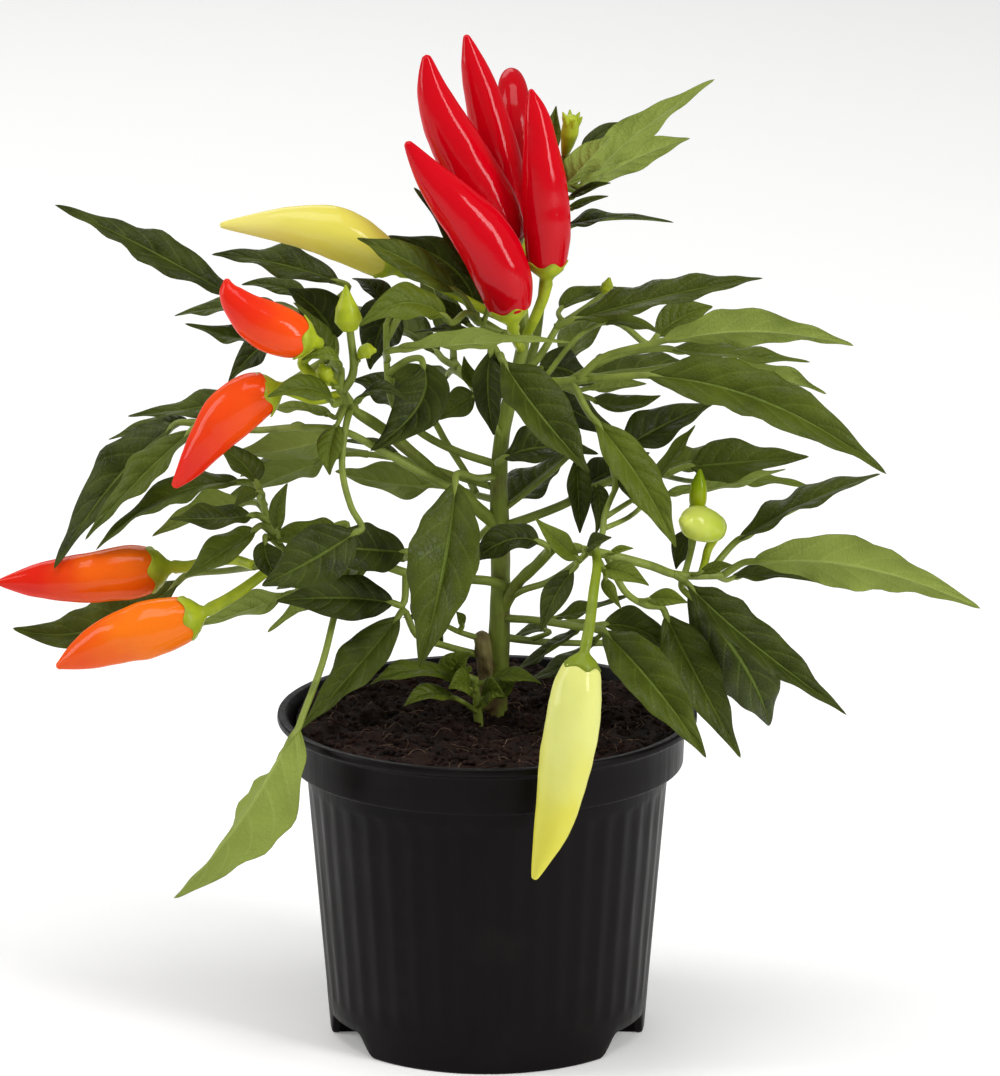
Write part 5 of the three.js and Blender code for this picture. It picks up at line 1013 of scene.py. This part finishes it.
        leaf(0.2, [[23.6, 191, 35.4]], [29, 192.4, 40], [46, 195, 56], [68, 192, 70], 16, 60),
        leaf(0.35, [[18, 190, 25]], [22, 186, 38], [22, 177, 54], [16, 169, 66], 14, 40),
        leaf(0.3, [[21, 190.4, 30.6]], [22.6, 195.6, 38], [29, 208, 54], [42, 214, 66], 13, 45),
        leaf(0.1, [[12, 188.6, 13]], [17, 186, 17], [27, 181, 22], [38.5, 173, 24], 12, 40),
    ],
    "basal_shoot": [
        stem([[-2.5, 80, -8], [-2.5, 91, -8], [-3, 98, -9.5], [-3.4, 103.4, -10.5]], 1.5, 1),
        leaf(0.45, [[-2.9, 97.4, -9.3]], [-9, 103, -13], [-21, 106.4, -18], [-33.5, 101.7, -23], 9, 50),
        leaf(0.5, [[-2.6, 93.4, -8.4]], [-9.5, 98, -15], [-17, 99.4, -20], [-23.8, 95.4, -25], 7, 40),
        leaf(0.6, [[-3.4, 103.2, -10.5]], [-6, 104.4, -11.4], [-9, 107.4, -12.6], [-4.8, 111.2, -13],
            11, 15),
        leaf(0.6, [[-3.1, 100.4, -10]], [-4.6, 100.4, -14], [-7, 102.6, -19], [-11, 100.6, -22], 9, 20),
        leaf(0.55, [[-2.8, 95.4, -9]], [-1.4, 97.6, -14], [1, 100, -18], [5, 98.2, -21], 8, 15),
        leaf(0.5, [[-3.2, 101.8, -10.2]], [1, 103.4, -12], [8, 104.6, -14], [15.5, 102, -16], 6.5, 50),
        leaf(0.55, [[-2.7, 94, -8.6]], [2, 98.4, -10], [5, 101, -10], [8.6, 104.4, -9], 6, 25),
    ],
}

for number, (name, rows) in enumerate(shoots.items()):
    kinds = {kind: [row for row in rows if row["kind"] == kind] for kind in ("leaf", "stem", "stalk", "bud")}
    parts = []
    for i, row in enumerate(kinds["leaf"]):
        parts += [bladePart(row, randomSeed + 100 * number + i), stalkPart(row)]
    parts += [stemPart(row) for row in kinds["stem"]] + [capPart(row) for row in kinds["stalk"]]
    parts += [part for row in kinds["bud"] for part in budParts(row)]
    addPiece(name.replace("_", "-"), parts, [leafBlade, stemSkin, budSkin, shadedCapSkin], [name])
print("leafy stems ready:", len(shoots))


# Main stem

trunkShape = {
    "columns": 32, "perSpan": 12, "ridges": 0.16, "rounding": 3.5,
    "lumps": (9, 0.12), "knots": (3.4, 0.3),    # width and height in mm, the knots on the stump only
}


# A woody rod: the radius at each point is the row's own, made a little uneven by noise and fine ridges
def trunkPart(row, seed, stump):
    shape = trunkShape
    points = place(row["route"])
    t = np.linspace(0, len(points) - 1, (len(points) - 1) * shape["perSpan"] + 1)
    centres, tangents = curveThrough(points, t)
    sizes = np.interp(t, np.arange(len(points)), np.linspace(row["foot"], row["end"], len(points)))
    sizes = sizes * np.sqrt(np.clip((t[-1] - t) * shape["rounding"], 0.02, 1))
    rings = roundRings(centres, tangents, sizes, shape["columns"])
    outward = unit(rings - centres[:, None])
    uneven = shape["lumps"][1] * ripples(rings, shape["lumps"][0], 12, seed)
    if stump:
        uneven = uneven + shape["knots"][1] * ripples(rings, shape["knots"][0], 12, seed + 1)
    ridges = np.cos(5 * roundAngles(shape["columns"]) + 0.4 * np.sin(t * 2.1)[:, None])
    ridges = shape["ridges"] * 0.5 * ridges
    rings = rings + outward * (uneven + ridges * sizes[:, None] / 3)[..., None]
    return partOf(closedGrid(rings), 1 if stump else 0)


trunkParts = [trunkPart(row, randomSeed + i, False) for i, row in enumerate(mainStem[:-1])]
trunkParts.append(trunkPart(mainStem[-1], randomSeed, True))
addPiece("main-stem", trunkParts, [trunkBark, stumpBark], ["main_stem"])
print("main stem ready")


# Fruits


# A fruit: rings about its axis with the profile's radius, made a little uneven round and along by noise
def fruitPart(fruit, seed):
    shape = fruitShape
    distance, radius, knots = fruitProfile(fruit)
    centres, tangents = curveThrough(place(fruit["axis"]), np.interp(distance, knots, np.arange(len(knots))))
    rings = roundRings(centres, tangents, radius, shape["columns"])
    outward = unit(rings - centres[:, None])
    broad, fine = shape["dentMm"]
    dents = ripples(rings, broad, 10, seed) + 0.4 * ripples(rings, fine, 10, seed + 50)
    rings = rings + outward * (shape["uneven"] * radius[:, None] * dents)[..., None]
    pattern = np.zeros((rings[..., 0].size + 2, 4))
    pattern[:, 0] = np.append(np.repeat(distance / knots[-1], shape["columns"]), [0, 1])
    return partOf(closedGrid(rings), pattern=pattern)


for i, (name, fruit) in enumerate(fruits.items()):
    skin = fruit["skin"]
    addPiece(name.replace("_", "-"), [fruitPart(fruit, randomSeed + 7 * i)], [fruitSkins[skin]],
             [name])
print("fruits ready:", len(fruits))


# Pot

potShape = {
    "columns": 528, "flutes": 44, "fluteDepth": 0.3,      # twelve columns to a flute
    "fluteFoot": (11, 13.5), "fluteTop": (73, 74.7),      # heights between which the flutes fade in and out
    "footRadius": 45.2, "footWidth": 2.0, "baseHeight": 6.6, "baseThickness": 1.2,
    "bodyTop": 51.9, "bandBottom": 79.5, "band": 56.4, "lip": 60.0, "lipTop": 94.2, "lipWidth": 2.8,
    "wall": 1.3,
    "notchFar": (31.6, 25.9), "notchNear": (7.6, 11.3),   # distances from the axis, low and at full height
    "notchHeight": 6.3, "sideFoot": (34.0, 7.3),   # where its inner side stands, and its half width
    "drainHoles": 6, "drainRadius": 4.0, "drainCircle": 30.0, "drainRods": (4.0, 10.0),
}


# A profile whose corners are rounded: each corner is left at its own distance before it and met again
# after it, along a quadratic curve that the corner pulls
def roundedProfile(corners, steps=5):
    places = np.array([corner[:2] for corner in corners], float)
    rows = [places[:1]]
    u = np.linspace(0, 1, steps)[:, None]
    for i in range(1, len(corners) - 1):
        before, here, after = places[i - 1:i + 2]
        reach = min(corners[i][2], 0.45 * np.linalg.norm(here - before), 0.45 * np.linalg.norm(after - here))
        first, last = here + unit(before - here) * reach, here + unit(after - here) * reach
        rows.append((1 - u) ** 2 * first + 2 * u * (1 - u) * here + u ** 2 * last)
    rows.append(places[-1:])
    return np.vstack(rows)


# The body's radius grows evenly with the height, from the foot to the band
def bodyRadius(z):
    return np.interp(z, [0, potShape["bandBottom"]], [potShape["footRadius"], potShape["bodyTop"]])


# 0 below low and 1 above high, and between them x squared times (3 - 2 x), x being the share of the way
def smoothStep(x, low, high):
    x = np.clip((x - low) / (high - low), 0, 1)
    return x * x * (3 - 2 * x)


# The pot is one turned wall: underside, foot, fluted body, band, lip, inside and floor. Flutes take
# radius away by half a cosine wave round the body, fading in and out at their ends, and the foot's
# lower edge is raised over the two notches at either side. Between these the foot is a solid block.
def potPart():
    shape = potShape
    foot, inner = shape["footRadius"], shape["footRadius"] - shape["footWidth"]
    floor = shape["baseHeight"] + shape["baseThickness"]
    top, band, lip, wall = shape["lipTop"], shape["band"], shape["lip"], shape["wall"]
    # each corner: its radius, its height, and how far from it the rounding starts
    outside = roundedProfile([
        (2, shape["baseHeight"], 0), (inner, shape["baseHeight"], 0.4), (inner + 0.1, 0, 0.35),
        (foot, 0, 0.8),
        (bodyRadius(11), 11, 2), (bodyRadius(75), 75, 2), (shape["bodyTop"], shape["bandBottom"] - 0.6, 0.5),
        (band - 0.4, shape["bandBottom"], 0.9), (band, top - 3.4, 1.0),
        (lip, top - 2.2, 0.7), (lip - 0.2, top, 0.8),
        (lip - shape["lipWidth"], top - 0.2, 0.6), (band - wall, top - 3.6, 0.8),
        (band - wall - 0.3, shape["bandBottom"] + wall, 0.8),
        (shape["bodyTop"] - wall, shape["bandBottom"] - 0.2, 0.8), (bodyRadius(floor) - wall, floor, 0.8),
        (2, floor, 0)])
    spans = [outside[:1]]
    for a, b in zip(outside[:-1], outside[1:]):   # long spans get rings of their own
        count = max(1, int(np.linalg.norm(b - a) / 4))
        spans.append(a + (b - a) * (np.arange(1, count + 1) / count)[:, None])
    profile = np.vstack(spans)
    radius, height = profile[:, 0], profile[:, 1]
    angle = roundAngles(shape["columns"])
    outer = np.arange(len(profile)) < np.argmax(height >= shape["bandBottom"] - 0.6)
    fade = smoothStep(height, *shape["fluteFoot"]) * (1 - smoothStep(height, *shape["fluteTop"])) * outer
    wave = (0.5 - 0.5 * np.cos(shape["flutes"] * angle)) ** 0.8
    radii = radius[:, None] - shape["fluteDepth"] * fade[:, None] * wave
    x, y = radii * np.cos(angle), radii * np.sin(angle)
    reach, halfWidth = shape["sideFoot"]
    inwards = ((radius < inner + 0.12) & outer)[:, None] & (np.abs(inner * np.sin(angle)) < halfWidth)
    x = np.where(inwards, x * reach / inner, x)
    side = np.abs(y)
    cut = smoothStep(-side, *(-end for end in shape["notchFar"])) * smoothStep(side, *shape["notchNear"])
    raised = shape["notchHeight"] * cut
    low = ((height < shape["notchHeight"]) & outer)[:, None]
    height = height[:, None]
    z = np.where(low, height + raised * (1 - height / shape["baseHeight"]), height)
    return partOf(closedGrid(np.stack([x, y, z], -1)))


# Drain holes are cut through the base by short rods
def cutDrains(pot):
    shape = potShape
    angles = roundAngles(shape["drainHoles"]) + np.pi / shape["drainHoles"]
    circle = roundAxis(shape["drainRadius"], roundAngles(24), 0)
    grids = [closedGrid(np.stack([circle + middle + [0, 0, z] for z in shape["drainRods"]]))
             for middle in roundAxis(shape["drainCircle"], angles, 0)]
    firsts = np.cumsum([0] + [len(grid[0]) for grid in grids])
    points = np.vstack([grid[0] for grid in grids]) + potAxis
    faces = [face for grid, first in zip(grids, firsts) for kind in grid[1:]
             for face in (kind + first).tolist()]
    mesh = bpy.data.meshes.new("drainRods")
    mesh.from_pydata((points / 1000).tolist(), [], faces)
    rods = linkNew("drainRods", mesh)
    cut = pot.modifiers.new("drains", "BOOLEAN")
    cut.operation, cut.object, cut.solver = "DIFFERENCE", rods, "EXACT"
    bpy.context.view_layer.update()
    finished = bpy.data.meshes.new_from_object(pot.evaluated_get(bpy.context.evaluated_depsgraph_get()))
    pot.modifiers.clear()
    pot.data = finished
    bpy.data.objects.remove(rods)


pot = addPiece("pot-moulded", [potPart()], [potPlastic], ["pot"])
cutDrains(pot)
print("pot ready:", len(pot.data.polygons), "faces")


# Soil

soilShape = {
    "level": 91.6, "mound": 1.5, "heap": 1.6, "reach": 54.5, "rings": 110, "columns": 200,
    "sideGap": 1.7,    # mm from the pot's outside, of which 1.3 are its wall
    "lumps": 0.75, "clods": 0.8, "crumbs": 2200, "crumbSize": (0.35, 1.5),
    "fibres": 220, "fibreLength": (3, 13), "fibreRadius": (0.06, 0.15),
}


# Height of the soil: a low mound round the stem, a heap against the rim at the back left, lumps from a few
# crossing waves, and clods of 6.5, 2.8 and 1.3 mm from weaker and weaker noise
def soilHeight(x, y):
    shape = soilShape
    reach = np.hypot(x, y) / potShape["band"]
    lumps = np.sin(0.19 * x + 1.3) * np.cos(0.23 * y - 0.6) + 0.7 * np.sin(0.37 * x - 0.31 * y + 2.1)
    flat = np.stack([x, y, 0 * x], -1)
    clods = 0.5 * ripples(flat, 6.5, 14, 5) + 0.3 * np.abs(ripples(flat, 2.8, 14, 6))
    clods = clods + 0.12 * ripples(flat, 1.3, 14, 7)
    heap = shape["heap"] * np.maximum(0, y - x) / potShape["band"] * reach ** 2
    top = shape["level"] + shape["mound"] * (1 - reach ** 2) + heap
    return top + shape["lumps"] * lumps + shape["clods"] * clods


# The soil's body: rings up its side, then rings across its top whose height is the soil's own
def soilPart():
    shape, pot = soilShape, potShape
    angle = roundAngles(shape["columns"])
    floor = pot["baseHeight"] + pot["baseThickness"]
    sides = np.array([[bodyRadius(floor) - shape["sideGap"], floor + 0.4],
                      [pot["bodyTop"] - shape["sideGap"], pot["bandBottom"] + 0.2],
                      [pot["band"] - 2.0, pot["bandBottom"] + 1.8], [shape["reach"], shape["level"] - 3.2]])
    walls = roundAxis(sides[:, :1], angle, sides[:, 1:])
    radius = np.linspace(shape["reach"], 0.4, shape["rings"])[:, None]
    x, y = radius * np.cos(angle), radius * np.sin(angle)
    height = soilHeight(x, y) - 0.9 * smoothStep(radius, shape["reach"] - 3, shape["reach"])
    return partOf(closedGrid(np.vstack([walls, np.stack([x, y, height], -1)])))


# Crumbs: one ball of four six-sided rings, copied with its own size, turn, squash and dents for each crumb
def crumbParts():
    shape = soilShape
    rng = np.random.default_rng(randomSeed)
    parts = []
    tilt = np.array([0.5, 1.25, 1.95, 2.65])[:, None]
    ball = roundAxis(np.sin(tilt), roundAngles(6), np.cos(tilt))
    for _ in range(shape["crumbs"]):
        reach, around = shape["reach"] * math.sqrt(rng.uniform(0.002, 0.96)), rng.uniform(0, 2 * np.pi)
        x, y = reach * math.cos(around), reach * math.sin(around)
        size = shape["crumbSize"][0] + (shape["crumbSize"][1] - shape["crumbSize"][0]) * rng.uniform() ** 2.5
        dented = ball * (size * rng.uniform(0.7, 1.2, (4, 6, 1)))
        dented = dented * [1, rng.uniform(0.6, 1), rng.uniform(0.5, 0.9)]
        spin = rng.uniform(0, 2 * np.pi)
        ballX, ballY, ballZ = np.moveaxis(dented, -1, 0)
        turned = np.stack([ballX * math.cos(spin) - ballY * math.sin(spin),
                           ballX * math.sin(spin) + ballY * math.cos(spin), ballZ], -1)
        middle = np.array([x, y, float(soilHeight(np.array(x), np.array(y))) + 0.25 * size])
        parts.append(partOf(closedGrid(turned + middle)))
    return parts


# Fibres: thin bent rods of roots and moss that lie on the soil, each end lower than its middle
def fibreParts():
    shape = soilShape
    rng = np.random.default_rng(randomSeed + 1)
    parts = []
    for _ in range(shape["fibres"]):
        reach, around = (shape["reach"] - 4) * math.sqrt(rng.uniform(0.01, 0.95)), rng.uniform(0, 2 * np.pi)
        length, heading = rng.uniform(*shape["fibreLength"]), rng.uniform(0, 2 * np.pi)
        bend = rng.normal(0, 0.55, 5).cumsum() + heading
        steps = np.stack([np.cos(bend), np.sin(bend)], -1) * length / 5
        path = np.array([math.cos(around), math.sin(around)]) * reach + steps.cumsum(0)
        path *= np.minimum(1, (shape["reach"] - 0.8) / np.maximum(np.linalg.norm(path, axis=1), 1))[:, None]
        lift = np.array([-0.3, 0.35, 0.7, 0.35, -0.3]) * rng.uniform(0.5, 1.6)
        points = np.column_stack([path, soilHeight(path[:, 0], path[:, 1]) + lift])
        radius = rng.uniform(*shape["fibreRadius"])
        parts.append(partOf(rod(points, np.full(5, radius), 5, 3, rounded=False), 1))
    return parts


soilParts = [soilPart()] + crumbParts() + fibreParts()
soil = addPiece("soil-peat", soilParts, [peatCrumb, peatFibre], ["soil"])
print("soil ready:", len(soil.data.polygons), "faces")


# Studio: pale floor, soft lights and the camera

studio = {
    "focalPixels": 7292, "photoPixels": 1076,    # focal length and longer side of the photograph
    "aim": (3.64, 0, 145.0), "lightsAim": (0, 0, 0.14),
    "floorRadius": 9.0, "floorColor": "#f6f6f5", "floorGlow": 0.16, "sky": "#ffffff", "skyStrength": 0.25,
    "lights": [  # name, place in metres, width and height, watts
        ("rightSoftbox", (1.5, -1.15, 1.0), (0.5, 1.5), 25),
        ("leftSoftbox", (-1.75, 0.0, 0.9), (0.8, 1.6), 17),
        ("topSoftbox", (0.0, -0.35, 1.9), (1.4, 1.2), 19),
        ("backSoftbox", (-0.5, 1.7, 1.3), (1.4, 1.0), 9),
    ],
}


# Turns a light or camera at one place to look at another, with its top upward
def aimAt(thing, spot, target):
    forward = unit(np.array(target, float) - np.array(spot, float))
    right = unit(np.cross(forward, [0, 0, 1]))
    turn = np.eye(4)
    turn[:3] = np.column_stack([right, np.cross(right, forward), -forward, spot])
    thing.matrix_world = Matrix(turn.tolist())


floorMesh = bpy.data.meshes.new("studioFloor")
floorMesh.from_pydata(roundAxis(studio["floorRadius"], roundAngles(96), 0).tolist(), [], [list(range(96))])
floor = linkNew("studioFloor", floorMesh)
floorColor = linear(studio["floorColor"])
# matt white paper that glows a little, as if lit from below on a light table
paper, _ = startMaterial("mattPaper", {
    "Roughness": 0.9, "Base Color": floorColor, "Emission Color": floorColor,
    "Emission Strength": studio["floorGlow"]})
floorMesh.materials.append(paper)

for name, spot, size, watts in studio["lights"]:
    light = bpy.data.lights.new(name, "AREA")
    light.shape, light.size, light.size_y, light.energy = "RECTANGLE", size[0], size[1], watts
    aimAt(linkNew(name, light), spot, studio["lightsAim"])

world = bpy.data.worlds.new("whiteRoom")
world.use_nodes = True
sky = world.node_tree.nodes["Background"].inputs
sky["Color"].default_value, sky["Strength"].default_value = linear(studio["sky"]), studio["skyStrength"]
bpy.context.scene.world = world
bpy.context.scene.view_settings.view_transform = "Standard"   # colours as the photograph has them

lens = bpy.data.cameras.new("photoCamera")
lens.sensor_width, lens.sensor_fit = 36.0, "AUTO"
lens.lens = studio["focalPixels"] / studio["photoPixels"] * 36.0
lens.clip_start, lens.clip_end = 0.1, 40
camera = linkNew("photoCamera", lens)
aimAt(camera, (eye + potAxis) / 1000, (np.array(studio["aim"]) + potAxis) / 1000)
bpy.context.scene.camera = camera
print("studio ready")
